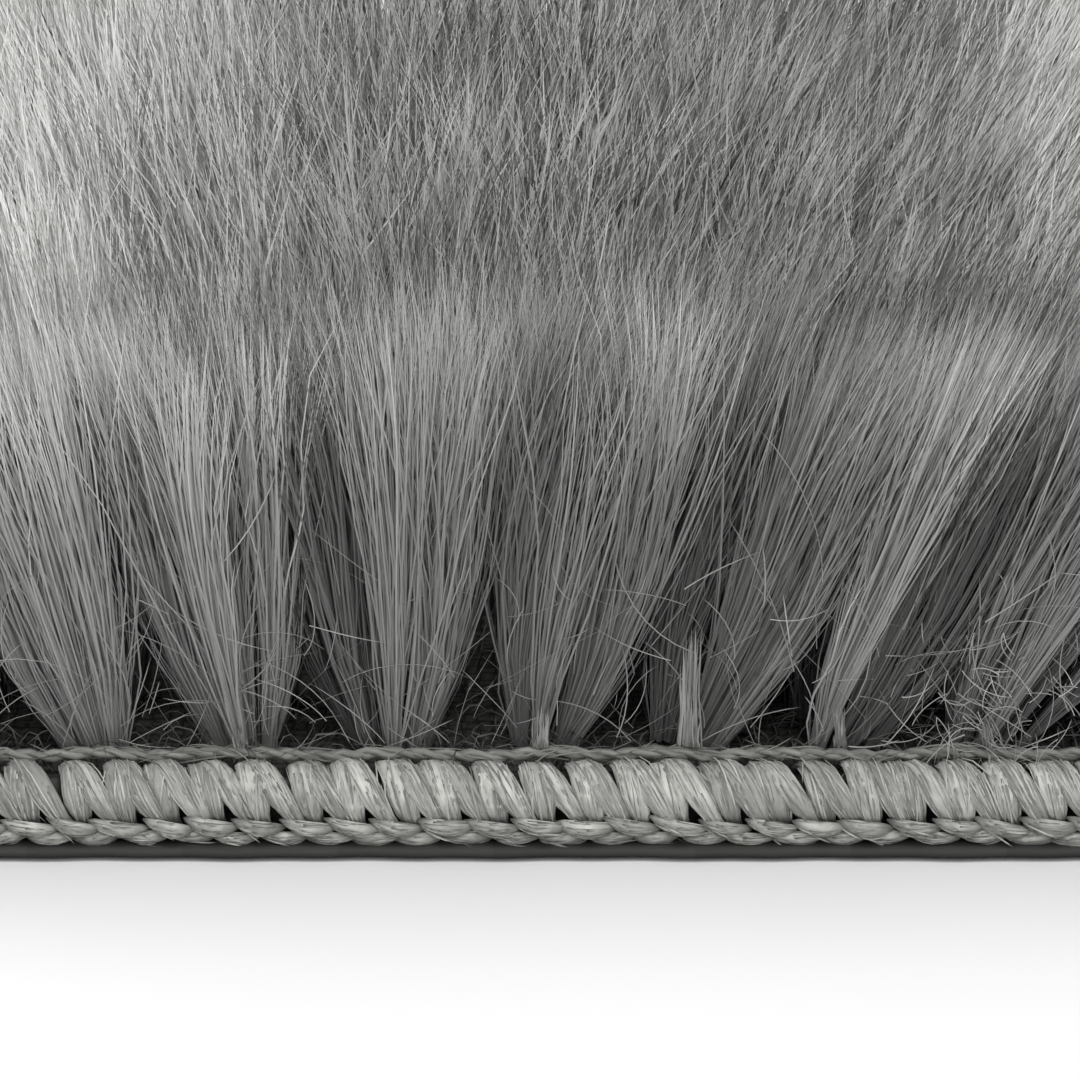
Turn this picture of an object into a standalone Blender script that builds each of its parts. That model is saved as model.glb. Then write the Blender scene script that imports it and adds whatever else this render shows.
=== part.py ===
"""Shag rug at the scale of its stitches: a small mat of long tufts, overcast all round.

Frame, in metres: z = 0 is the floor that the mat lies on and +Z is up, +X runs to the
right along the front edge, +Y runs from the front edge to the back, and the origin is
under the middle of the mat.

backing      flat ground cloth, stepped in below its rim to make room for the binding
pile         lumpy slab of the inner tufts, with each rim tuft's locks standing round it
overcasting  binding yarn wrapped over the backing's edge, one raised rib a stitch
chain        looped thread along the foot of the binding, two staggered rows of loops
"""

import math
from collections import namedtuple

import bmesh
import bpy
import numpy as np

MM = 0.001
OBJECT_NAME = "shag_rug"
CLEARANCE = 0.4 * MM  # between neighbouring pieces

# Tufts, in a rectangular stand whose outermost ones are the rim
TUFT_COLUMNS = 13
TUFT_ROWS = 14
COLUMN_PITCH = 10.3 * MM
ROW_PITCH = 8.5 * MM
STAND_HALF_X = (TUFT_COLUMNS - 1) / 2 * COLUMN_PITCH
STAND_HALF_Y = (TUFT_ROWS - 1) / 2 * ROW_PITCH
LOCKS_PER_TUFT = 3
PILE_LENGTH = 32.4 * MM
LENGTH_SPREAD = 1.3 * MM
LOCK_SEED = 7

# Lie of the pile: it fans out from near the middle, further to the right than the left
LEAN_MIDDLE = math.radians(5.0)
LEAN_SWING = math.radians(19.0)
LEAN_CENTRE_X = -4.0 * MM
LEAN_REACH_X = 18.0 * MM
RIM_SPLAY = math.radians(5.0)

# Binding and the mat's outer edge
BINDING_DEPTH = 4.2 * MM  # from its outer face in to its lip
RIM_TUFT_TO_LIP = 3.0 * MM
MAT_HALF_X = STAND_HALF_X + RIM_TUFT_TO_LIP + BINDING_DEPTH
MAT_HALF_Y = STAND_HALF_Y + RIM_TUFT_TO_LIP + BINDING_DEPTH
CORNER_RADIUS = 6.5 * MM
CORNER_STEPS = 6
STITCH_PITCH = 3.2 * MM

# Levels above the floor
BACKING_TOP = 4.4 * MM
BACKING_STEP = 1.0 * MM
PILE_FOOT = BACKING_TOP + CLEARANCE
PLINTH_TOP = PILE_FOOT + 1.0 * MM

# Slab of the inner tufts: it stands inside the rim tufts' line by this margin
SLAB_MARGIN = 3.5 * MM
SLAB_SCALLOP = 0.6 * MM
SLAB_LUMP = 1.0 * MM
SLAB_DIP = 9.5 * MM  # how far the top falls from a tuft's crown to the gap beside it
SLAB_SEED = 23

# One row for each level of a lock: how far up the pile it is, how far it has spread from
# its tuft's middle, its half width as a share of its own pitch, and its half depth
LockLevel = namedtuple("LockLevel", "rise spread half_width half_depth")
LOCK_LEVELS = (
    LockLevel(0.02, 0.50, 0.18, 1.2 * MM),
    LockLevel(0.30, 0.92, 0.37, 1.9 * MM),
    LockLevel(0.80, 1.00, 0.40, 1.6 * MM),
    LockLevel(1.00, 1.00, 0.24, 0.6 * MM),
)

# One row for each level of the slab's wall: how far up the pile, and how far drawn in
SlabLevel = namedtuple("SlabLevel", "rise draw_in")
SLAB_LEVELS = (
    SlabLevel(0.02, 0.8 * MM),
    SlabLevel(0.30, 0.0 * MM),
    SlabLevel(0.54, 0.2 * MM),
    SlabLevel(0.91, 0.9 * MM),
)
CROWN_RISE = 0.97

# One row for each point of a sewn ring's section: how far in from the binding's outer
# face, its level, how far a rib swells it out and up, which of a stitch's two columns
# the rib is on, and how many stitches further along the edge the point lies
RingPoint = namedtuple("RingPoint", "inset level out up side slant")
OVERCASTING_SECTION = (
    RingPoint(4.2 * MM, 4.8 * MM, 0.0 * MM, 0.0 * MM, 0, 0.0),
    RingPoint(4.2 * MM, 5.7 * MM, 0.0 * MM, 0.0 * MM, 0, 0.0),
    RingPoint(3.7 * MM, 6.2 * MM, 0.0 * MM, 0.0 * MM, 0, 0.0),
    RingPoint(3.1 * MM, 5.7 * MM, 0.0 * MM, 0.0 * MM, 0, 0.0),
    RingPoint(2.0 * MM, 5.8 * MM, 0.0 * MM, 0.4 * MM, 0, 0.15),
    RingPoint(0.6 * MM, 5.1 * MM, 0.3 * MM, 0.4 * MM, 0, 0.4),
    RingPoint(0.0 * MM, 4.0 * MM, 0.5 * MM, 0.0 * MM, 0, 0.6),
    RingPoint(0.1 * MM, 2.8 * MM, 0.4 * MM, 0.0 * MM, 0, 0.85),
    RingPoint(1.0 * MM, 2.3 * MM, 0.0 * MM, 0.0 * MM, 0, 0.9),
    RingPoint(1.0 * MM, 0.0 * MM, 0.0 * MM, 0.0 * MM, 0, 0.75),
    RingPoint(4.0 * MM, 0.0 * MM, 0.0 * MM, 0.0 * MM, 0, 0.6),
    RingPoint(4.0 * MM, 0.6 * MM, 0.0 * MM, 0.0 * MM, 0, 0.45),
    RingPoint(1.9 * MM, 0.6 * MM, 0.0 * MM, 0.0 * MM, 0, 0.3),
    RingPoint(1.9 * MM, 4.8 * MM, 0.0 * MM, 0.0 * MM, 0, 0.15),
)
CHAIN_SECTION = (
    RingPoint(0.6 * MM, 0.0 * MM, 0.0 * MM, 0.0 * MM, 0, 0.0),
    RingPoint(-0.7 * MM, 0.0 * MM, 0.0 * MM, 0.0 * MM, 0, 0.0),
    RingPoint(-0.8 * MM, 0.5 * MM, 0.6 * MM, 0.0 * MM, 1, 0.0),
    RingPoint(-0.5 * MM, 1.3 * MM, 0.6 * MM, 0.0 * MM, 0, 0.0),
    RingPoint(-0.1 * MM, 1.8 * MM, 0.0 * MM, 0.0 * MM, 0, 0.0),
    RingPoint(0.6 * MM, 1.8 * MM, 0.0 * MM, 0.0 * MM, 0, 0.0),
)

# Insets of the backing's two plates, clear of the binding's web and of its lower leg
BACKING_RIM_INSET = 1.9 * MM + CLEARANCE
BACKING_FOOT_INSET = 4.0 * MM + CLEARANCE
PLINTH_INSET = BINDING_DEPTH + CLEARANCE

# Linear base colours
PILE_GREY = (0.235, 0.235, 0.230)
BACKING_GREY = (0.110, 0.110, 0.105)
YARN_GREY = (0.470, 0.470, 0.440)
CHAIN_GREY = (0.400, 0.400, 0.375)


def clear_scene():
    for obj in list(bpy.data.objects):
        bpy.data.objects.remove(obj)


def add_collection(name):
    collection = bpy.data.collections.new(name)
    bpy.context.scene.collection.children.link(collection)
    return collection


def add_fabric(name, colour, roughness=0.9):
    """A matt Principled material, with the soft sheen of fibres."""
    material = bpy.data.materials.new(name)
    material.use_nodes = True
    shader = material.node_tree.nodes["Principled BSDF"]
    shader.inputs["Base Color"].default_value = (*colour, 1.0)
    shader.inputs["Roughness"].default_value = roughness
    shader.inputs["Metallic"].default_value = 0.0
    shader.inputs["Sheen Weight"].default_value = 0.3
    return material


def add_object(name, bm, collection, material=None):
    """Makes an object of the bmesh, with its faces turned out, and frees the bmesh."""
    bmesh.ops.recalc_face_normals(bm, faces=bm.faces)
    mesh = bpy.data.meshes.new(name)
    bm.to_mesh(mesh)
    bm.free()
    if material:
        mesh.materials.append(material)
    obj = bpy.data.objects.new(name, mesh)
    collection.objects.link(obj)
    return obj


def make_operand(obj):
    """Hides a shape that is only joined to another by a Boolean."""
    obj.hide_render = True
    obj.display_type = "WIRE"
    return obj


def unite(obj, operand):
    union = obj.modifiers.new(f"unite_{operand.name}", "BOOLEAN")
    union.operation = "UNION"
    union.solver = "EXACT"
    union.object = operand


def rounded_plate(inset, low, high):
    """A plate of the mat's outline, drawn in by the inset, between two levels."""
    bm = bmesh.new()
    bmesh.ops.create_cube(bm, size=1.0)
    size = (2 * (MAT_HALF_X - inset), 2 * (MAT_HALF_Y - inset), high - low)
    bmesh.ops.scale(bm, vec=size, verts=bm.verts)
    bmesh.ops.translate(bm, vec=(0.0, 0.0, (low + high) / 2), verts=bm.verts)
    upright = [e for e in bm.edges if abs(e.verts[0].co.z - e.verts[1].co.z) > (high - low) / 2]
    bmesh.ops.bevel(
        bm,
        geom=upright,
        offset=CORNER_RADIUS - inset,
        segments=CORNER_STEPS,
        profile=0.5,
        affect="EDGES",
    )
    return bm


def edge_frames(lengths):
    """Centres of curvature and outward directions at lengths run along the outer edge.

    The edge is a rounded rectangle, run anticlockwise from the middle of the front.
    Along a side only the centre moves, and round a corner only the direction turns.
    """
    side_x = MAT_HALF_X - CORNER_RADIUS
    side_y = MAT_HALF_Y - CORNER_RADIUS
    corner = CORNER_RADIUS * math.pi / 2
    front_half, right, back, left = side_x, 2 * side_y, 2 * side_x, 2 * side_y
    runs = (0, front_half, corner, right, corner, back, corner, left, corner, front_half)
    ends = np.cumsum(runs)
    centre_x = side_x * np.array((0, 1, 1, 1, 1, -1, -1, -1, -1, 0))
    centre_y = side_y * np.array((-1, -1, -1, 1, 1, 1, 1, -1, -1, -1))
    quarter_turns = np.array((-1, -1, 0, 0, 1, 1, 2, 2, 3, 3))
    run = np.mod(lengths, ends[-1])
    return (
        np.interp(run, ends, centre_x),
        np.interp(run, ends, centre_y),
        np.interp(run, ends, quarter_turns * math.pi / 2),
    )


def edge_length():
    straight = 4 * (MAT_HALF_X - CORNER_RADIUS) + 4 * (MAT_HALF_Y - CORNER_RADIUS)
    return straight + 2 * math.pi * CORNER_RADIUS


def sewn_ring(section):
    """A closed ring round the mat: the section carried along the edge, ribbed by stitch.

    A grid has two columns a stitch and a row for each point of the section, and its ends
    and its sides are welded. On the point's own side of each stitch, the rib swells it.
    """
    stitches = round(edge_length() / STITCH_PITCH)
    columns, rows = 2 * stitches, len(section)
    bm = bmesh.new()
    bmesh.ops.create_grid(bm, x_segments=columns, y_segments=rows, size=1.0)
    for vert in bm.verts:
        column = round((vert.co.x + 1.0) / 2 * columns)
        point = section[round((vert.co.y + 1.0) / 2 * rows) % rows]
        swell = 1.0 if column % 2 == point.side else 0.0
        run = (column / 2 + point.slant) / stitches * edge_length()
        centre_x, centre_y, direction = edge_frames(run)
        reach = CORNER_RADIUS - point.inset + point.out * swell
        vert.co = (
            centre_x + reach * math.cos(direction),
            centre_y + reach * math.sin(direction),
            point.level + point.up * swell,
        )
    bmesh.ops.remove_doubles(bm, verts=bm.verts, dist=1e-6)
    return bm


def comb(bm):
    """Leans upright pile over: each point swings about its own foot, and keeps its length.

    Across the mat the lean runs from a little left to well right, and towards the front
    and back rims it splays outward.
    """
    for vert in bm.verts:
        length = vert.co.z - PILE_FOOT
        fan = math.tanh((vert.co.x - LEAN_CENTRE_X) / LEAN_REACH_X)
        lean_x = LEAN_MIDDLE + LEAN_SWING * fan
        lean_y = RIM_SPLAY * (vert.co.y / STAND_HALF_Y) ** 3
        vert.co.x += length * math.sin(lean_x)
        vert.co.y += length * math.sin(lean_y)
        vert.co.z = PILE_FOOT + length * math.cos(lean_x) * math.cos(lean_y)


def cut_block(cells):
    """A block from -1 to 1 on each axis, cut into this many cells along each."""
    bm = bmesh.new()
    bmesh.ops.create_cube(bm, size=2.0)
    for axis, count in enumerate(cells):
        along = [e for e in bm.edges if e.verts[0].co[axis] != e.verts[1].co[axis]]
        bmesh.ops.subdivide_edges(bm, edges=along, cuts=count - 1, use_grid_fill=True)
    return bm


def tuft_bulge(along, stand_half, pitch):
    """From 1 beside a tuft's middle to -1 between two tufts."""
    return math.cos(2 * math.pi * (along + stand_half) / pitch)


def crown_level(x, y, rise, lump):
    """The slab's top: one crown a tuft with a dip all round it, and its own small lump."""
    crown = (1 + tuft_bulge(x, STAND_HALF_X, COLUMN_PITCH)) * (1 + tuft_bulge(y, STAND_HALF_Y, ROW_PITCH)) / 4
    return rise * PILE_LENGTH - SLAB_DIP * (1 - crown) + SLAB_LUMP * lump


def inner_tufts():
    """The slab: a block cut into one cell a lock, its wall scalloped and its top lumpy."""
    half_x, half_y = STAND_HALF_X - SLAB_MARGIN, STAND_HALF_Y - SLAB_MARGIN
    columns = LOCKS_PER_TUFT * (TUFT_COLUMNS - 2)
    rows = LOCKS_PER_TUFT * (TUFT_ROWS - 2)
    levels = len(SLAB_LEVELS) - 1
    lumps = np.random.default_rng(SLAB_SEED).uniform(-1, 1, (columns + 1, rows + 1))
    bm = cut_block((columns, rows, levels))
    for vert in bm.verts:
        side_x, side_y = (int(share * 1.001) for share in vert.co.xy)  # 0 inside the walls
        lump = lumps[round((vert.co.x + 1) / 2 * columns), round((vert.co.y + 1) / 2 * rows)]
        step = round((vert.co.z + 1) / 2 * levels)
        level = SLAB_LEVELS[step]
        x, y = vert.co.x * half_x, vert.co.y * half_y
        bulge_x = SLAB_SCALLOP * tuft_bulge(y, STAND_HALF_Y, ROW_PITCH) - level.draw_in
        bulge_y = SLAB_SCALLOP * tuft_bulge(x, STAND_HALF_X, COLUMN_PITCH) - level.draw_in
        inside = not (side_x or side_y)
        height = level.rise * PILE_LENGTH
        if step == levels:
            height = crown_level(x, y, CROWN_RISE if inside else level.rise, lump)
        vert.co = (x + side_x * bulge_x, y + side_y * bulge_y, PILE_FOOT + height)
    comb(bm)
    return bm


def rim_tufts():
    """The foot of each rim tuft, and whether the rim runs along X there."""
    for column in range(TUFT_COLUMNS):
        for side in (-1, 1):
            yield column * COLUMN_PITCH - STAND_HALF_X, side * STAND_HALF_Y, True
    for row in range(1, TUFT_ROWS - 1):
        for side in (-1, 1):
            yield side * STAND_HALF_X, row * ROW_PITCH - STAND_HALF_Y, False


def rim_locks():
    """Three locks to a rim tuft, close at the root, then spread to fill the tuft's pitch."""
    rng = np.random.default_rng(LOCK_SEED)
    levels = len(LOCK_LEVELS) - 1
    bm = bmesh.new()
    for foot_x, foot_y, along_x in rim_tufts():
        pitch = (COLUMN_PITCH if along_x else ROW_PITCH) / LOCKS_PER_TUFT
        for lock in range(LOCKS_PER_TUFT):
            length = PILE_LENGTH + rng.uniform(-1, 1) * LENGTH_SPREAD
            block = cut_block((1, 1, levels))
            for vert in block.verts:
                level = LOCK_LEVELS[round((vert.co.z + 1) / 2 * levels)]
                aside = (lock - (LOCKS_PER_TUFT - 1) / 2) * level.spread
                if along_x:
                    x = foot_x + (aside + vert.co.x * level.half_width) * pitch
                    y = foot_y + vert.co.y * level.half_depth
                else:
                    x = foot_x + vert.co.x * level.half_depth
                    y = foot_y + (aside + vert.co.y * level.half_width) * pitch
                vert.co = (x, y, PILE_FOOT + level.rise * length)
            made = bpy.data.meshes.new("lock")
            block.to_mesh(made)
            block.free()
            bm.from_mesh(made)
            bpy.data.meshes.remove(made)
    comb(bm)
    return bm


def build_backing(parts, operands):
    material = add_fabric("backing_cloth", BACKING_GREY)
    cloth = rounded_plate(BACKING_RIM_INSET, BACKING_STEP, BACKING_TOP)
    backing = add_object("backing", cloth, parts, material)
    under = rounded_plate(BACKING_FOOT_INSET, 0.0, (BACKING_STEP + BACKING_TOP) / 2)
    unite(backing, make_operand(add_object("backing_underside", under, operands)))
    return backing


def build_pile(parts, operands):
    material = add_fabric("pile_fibre", PILE_GREY)
    plinth = rounded_plate(PLINTH_INSET, PILE_FOOT, PLINTH_TOP)
    pile = add_object("pile", plinth, parts, material)
    unite(pile, make_operand(add_object("inner_tufts", inner_tufts(), operands)))
    unite(pile, make_operand(add_object("rim_locks", rim_locks(), operands)))
    return pile


def build_overcasting(parts):
    material = add_fabric("binding_yarn", YARN_GREY)
    return add_object("overcasting", sewn_ring(OVERCASTING_SECTION), parts, material)


def build_chain(parts):
    material = add_fabric("chain_yarn", CHAIN_GREY)
    return add_object("chain", sewn_ring(CHAIN_SECTION), parts, material)


def main():
    clear_scene()
    parts = add_collection(OBJECT_NAME)
    operands = add_collection(f"{OBJECT_NAME}_operands")
    mat = bpy.data.objects.new(f"{OBJECT_NAME}_origin", None)
    parts.objects.link(mat)
    pieces = (
        build_backing(parts, operands),
        build_pile(parts, operands),
        build_overcasting(parts),
        build_chain(parts),
    )
    for piece in pieces:
        piece.parent = mat
    for operand in operands.objects:
        operand.parent = mat


main()
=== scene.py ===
"""Looks of the shag rug: its fibres, yarns and ground cloth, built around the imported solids.

The mat lies on the floor at z = 0, with +X to the right along its front edge, +Y from the
front edge to the back and +Z up. The origin is under its middle. Lengths are in metres and
angles in radians.
"""

from __future__ import annotations

import logging
import math
from dataclasses import dataclass
from enum import Enum

import bpy
import numpy as np
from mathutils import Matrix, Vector


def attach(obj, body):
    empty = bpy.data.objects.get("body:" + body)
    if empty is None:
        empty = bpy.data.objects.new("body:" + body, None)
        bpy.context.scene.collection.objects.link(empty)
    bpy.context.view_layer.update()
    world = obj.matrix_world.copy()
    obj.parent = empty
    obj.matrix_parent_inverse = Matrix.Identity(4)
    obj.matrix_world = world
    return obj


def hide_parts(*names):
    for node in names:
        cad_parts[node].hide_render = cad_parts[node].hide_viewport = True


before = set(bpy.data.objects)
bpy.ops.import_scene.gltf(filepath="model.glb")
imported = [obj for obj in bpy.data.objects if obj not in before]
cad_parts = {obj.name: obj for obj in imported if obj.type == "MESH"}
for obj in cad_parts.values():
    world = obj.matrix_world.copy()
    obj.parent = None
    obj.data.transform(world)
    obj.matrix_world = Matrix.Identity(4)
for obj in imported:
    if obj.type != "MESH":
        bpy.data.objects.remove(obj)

MM = 0.001
TURN = 2 * math.pi
BAKE_MAP = "OFBake"
SHADE_COLUMNS = 16
# Means to draw directions round: upwards, or none for any way at all.
UP, ANY = (0, 0, 1), (0, 0, 0)
log = logging.getLogger("shag_rug")

Array = np.ndarray
Socket = bpy.types.NodeSocket
Material = bpy.types.Material
Piece = bpy.types.Object
Pair = tuple[float, float]
Triple = tuple[float, float, float]


# ---------------------------------------------------------------- meshes


@dataclass
class Surface:
    """One piece's mesh as whole arrays.

    Attributes:
        points: Places of the vertices, shape (V, 3).
        corners: The vertex of each face corner, face after face, shape (L,).
        sizes: The number of corners of each face, shape (F,).
        uv: Map coordinates of each face corner, shape (L, 2), or None without a map.
        normals: Normals to shade the vertices with, shape (V, 3), or None for the mesh's own.
    """

    points: Array
    corners: Array
    sizes: Array
    uv: Array | None = None
    normals: Array | None = None

    @staticmethod
    def joined(parts: list[Surface]) -> Surface:
        """Puts several surfaces into one, each with its vertices counted on from the last.

        Args:
            parts: The surfaces.

        Returns:
            One surface with all their faces.
        """
        firsts = np.cumsum([0] + [len(part.points) for part in parts[:-1]])
        normals = [part.normals for part in parts if part.normals is not None]
        return Surface(
            np.concatenate([part.points for part in parts]),
            np.concatenate([part.corners + first for part, first in zip(parts, firsts)]),
            np.concatenate([part.sizes for part in parts]),
            np.concatenate([part.uv for part in parts]),
            np.concatenate(normals) if normals else None,
        )

    @staticmethod
    def ribbons(
        lines: Array, half_width: Array, facing: Array, shade: Array,
        shading: Array | None = None, lowest: float = 0.0,
    ) -> Surface:
        """Flat fibres that end in a point.

        Each fibre's side at a station is its tangent crossed with its facing direction. The
        two rails are the line plus and minus that side times the half width, joined by one
        quad a step, and the last step is a triangle that ends on the line's tip.

        Args:
            lines: Stations of each fibre's middle line, shape (N, S + 1, 3).
            half_width: Half width at each station but the tip, to spread over (N, S).
            facing: Direction that each fibre's flat side is turned to, shape (N, 3).
            shade: Shade column of each fibre, shape (N,), whole numbers.
            shading: Normals to shade the stations with, shape (N, S + 1, 3), or None.
            lowest: Height on the map at which the fibres' roots start.

        Returns:
            The fibres as one surface, mapped with the shade across and root to tip up.
        """
        count, steps = lines.shape[0], lines.shape[1] - 1
        side = np.cross(np.diff(lines, axis=1), facing[:, None, :])
        side /= np.linalg.norm(side, axis=2, keepdims=True) + 1e-12
        rail = side * half_width[..., None]
        rails = np.stack([lines[:, :-1] - rail, lines[:, :-1] + rail], axis=2)
        points = np.concatenate([rails.reshape(count, 2 * steps, 3), lines[:, -1:]], axis=1)
        low = 2 * np.arange(steps - 1)
        quads = np.stack([low, low + 1, low + 3, low + 2], axis=1).reshape(-1)
        fibre = np.concatenate([quads, 2 * steps - np.array([2, 1, 0])])
        corners = np.arange(count)[:, None] * (2 * steps + 1) + fibre
        across = np.append(fibre[:-1] % 2, 0.5)
        height = np.linspace(lowest + 0.01, 0.99, steps + 1)[fibre // 2]
        u = (shade[:, None] + 0.2 + 0.6 * across) / SHADE_COLUMNS
        uv = np.stack([u, np.broadcast_to(height, u.shape)], axis=2)
        normals = None
        if shading is not None:
            normals = np.concatenate([np.repeat(shading[:, :-1], 2, axis=1), shading[:, -1:]], axis=1)
            normals = normals.reshape(-1, 3)
        sizes = np.tile([4] * (steps - 1) + [3], count)
        return Surface(points.reshape(-1, 3), corners.reshape(-1), sizes, uv.reshape(-1, 2), normals)

    @staticmethod
    def wall(
        low: Array, high: Array, shade: Array | int, start: Array, end: Array
    ) -> tuple[Array, Array]:
        """Joins rings of vertices to the rings after them, a quad between neighbours.

        Args:
            low: Vertices of the rings, shape (..., N).
            high: Vertices of the rings after them, in the same shape.
            shade: Shade column of each strand, to spread over the quads.
            start: Height of each ring on the map, to spread over the quads.
            end: Height of the ring after it, in the same shape.

        Returns:
            The corners, shape (L,), and their map coordinates, shape (L, 2).
        """
        quads = np.stack([low, np.roll(low, -1, -1), np.roll(high, -1, -1), high], axis=-1)
        turn = np.arange(low.shape[-1]) / low.shape[-1]
        after = turn + 1 / low.shape[-1]
        u = (shade + 0.1 + 0.8 * np.stack([turn, after, after, turn], axis=-1)) / SHADE_COLUMNS
        v = np.stack([start, start, end, end], axis=-1)
        uv = np.stack([np.broadcast_to(u, quads.shape), np.broadcast_to(v, quads.shape)], axis=-1)
        return quads.reshape(-1), uv.reshape(-1, 2)

    @staticmethod
    def tubes(rings: Array, shade: Array) -> Surface:
        """Closed strands: rings of points carried along each, with a cap at both ends.

        Args:
            rings: Points of each strand, ring after ring, shape (B, M, N, 3).
            shade: Shade column of each strand, shape (B,), whole numbers.

        Returns:
            The strands as one surface, mapped round and along, facing outwards.
        """
        count, along, around = rings.shape[:3]
        index = np.arange(count * along * around).reshape(count, along, around)
        rise = np.linspace(0.02, 0.98, along)[:, None]
        walls, uv = Surface.wall(
            index[:, :-1], index[:, 1:], shade[:, None, None, None], rise[:-1], rise[1:]
        )
        cap_u = (shade[:, None] + 0.1 + 0.8 * np.arange(around) / around) / SHADE_COLUMNS
        wave = 0.01 + 0.01 * (np.arange(around) % 2)
        cap_v = np.stack([np.broadcast_to(level, cap_u.shape) for level in (wave, 1 - wave)])
        cap_uv = np.stack([np.broadcast_to(cap_u, cap_v.shape), cap_v], axis=3)
        surface = Surface(
            rings.reshape(-1, 3),
            np.concatenate([walls, index[:, 0, ::-1].reshape(-1), index[:, -1].reshape(-1)]),
            np.repeat([4, around], [count * (along - 1) * around, 2 * count]),
            np.concatenate([uv, cap_uv.reshape(-1, 2)]),
        )
        first = rings[:, 0]
        outward = np.cross(first[:, 1] - first[:, 0], rings[:, 1, 0] - first[:, 0])
        towards = (first[:, 0] - first.mean(axis=1)) * outward
        return surface if towards.sum() > 0 else surface.turned_round()

    @staticmethod
    def hoop(rings: Array, shade: int, span: Pair = (0.0, 1.0)) -> Surface:
        """A strand whose last ring meets its first, with a map that starts anew every 10 rings.

        Args:
            rings: Points round the strand, each ring turning from its inner side upwards,
                shape (M, N, 3).
            shade: Its shade column.
            span: The part of the map's height that it uses.

        Returns:
            The strand, without caps.
        """
        along, around = rings.shape[:2]
        index = np.arange(along * around).reshape(along, around)
        rise = np.mod(np.arange(along), 10)[:, None] / 10
        start, end = (span[0] + (span[1] - span[0]) * level for level in (rise, rise + 0.1))
        corners, uv = Surface.wall(index, np.roll(index, -1, axis=0), shade, start, end)
        return Surface(rings.reshape(-1, 3), corners, np.full(index.size, 4), uv)

    def turned_round(self) -> Surface:
        """The same surface with each face's corners run the other way.

        Returns:
            A surface that faces the other way.
        """
        ends = np.cumsum(self.sizes)
        mirror = np.repeat(2 * ends - self.sizes - 1, self.sizes) - np.arange(len(self.corners))
        return Surface(self.points, self.corners[mirror], self.sizes, self.uv[mirror], self.normals)

    def to_object(self, name: str, material: Material) -> Piece:
        """Makes the mesh object of this surface, dressed in one material.

        Args:
            name: The piece's name.
            material: Its finish.

        Returns:
            The new object, at the origin and linked to the scene.
        """
        mesh = bpy.data.meshes.new(name)
        mesh.vertices.add(len(self.points))
        mesh.vertices.foreach_set("co", self.points.astype(np.float32).reshape(-1))
        mesh.loops.add(len(self.corners))
        mesh.loops.foreach_set("vertex_index", self.corners.astype(np.int32))
        mesh.polygons.add(len(self.sizes))
        starts = np.cumsum(self.sizes) - self.sizes
        mesh.polygons.foreach_set("loop_start", starts.astype(np.int32))
        if self.uv is not None:
            layer = mesh.uv_layers.new(name=BAKE_MAP)
            layer.uv.foreach_set("vector", self.uv.astype(np.float32).reshape(-1))
        mesh.polygons.foreach_set("use_smooth", np.ones(len(self.sizes), dtype=bool))
        mesh.update(calc_edges=True)
        mesh.validate()
        if self.normals is not None:
            mesh.normals_split_custom_set_from_vertices(self.normals.astype(np.float32))
        mesh.materials.append(material)
        obj = bpy.data.objects.new(name, mesh)
        bpy.context.scene.collection.objects.link(obj)
        return obj


def grid_quads(index: Array) -> Array:
    """Joins a grid of vertices to faces, facing up where the grid's axes are X and Y.

    Args:
        index: The vertices, shape (A, B).

    Returns:
        The corners of each quad, shape ((A - 1)(B - 1), 4).
    """
    quads = np.stack([index[:-1, :-1], index[1:, :-1], index[1:, 1:], index[:-1, 1:]], axis=2)
    return quads.reshape(-1, 4)


def fitted(
    surface: Surface, name: str, material: Material, node: str | None = None
) -> Piece:
    """Makes one piece of the rug, which rides on the mat.

    Args:
        surface: Its shape.
        name: Its name.
        material: Its finish.
        node: The solid that it stands for, or None if it is only added.

    Returns:
        The piece.
    """
    piece = surface.to_object(name, material)
    if node is not None:
        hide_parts(node)
    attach(piece, "root")
    return piece


# ---------------------------------------------------------------- the rug's plan


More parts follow.
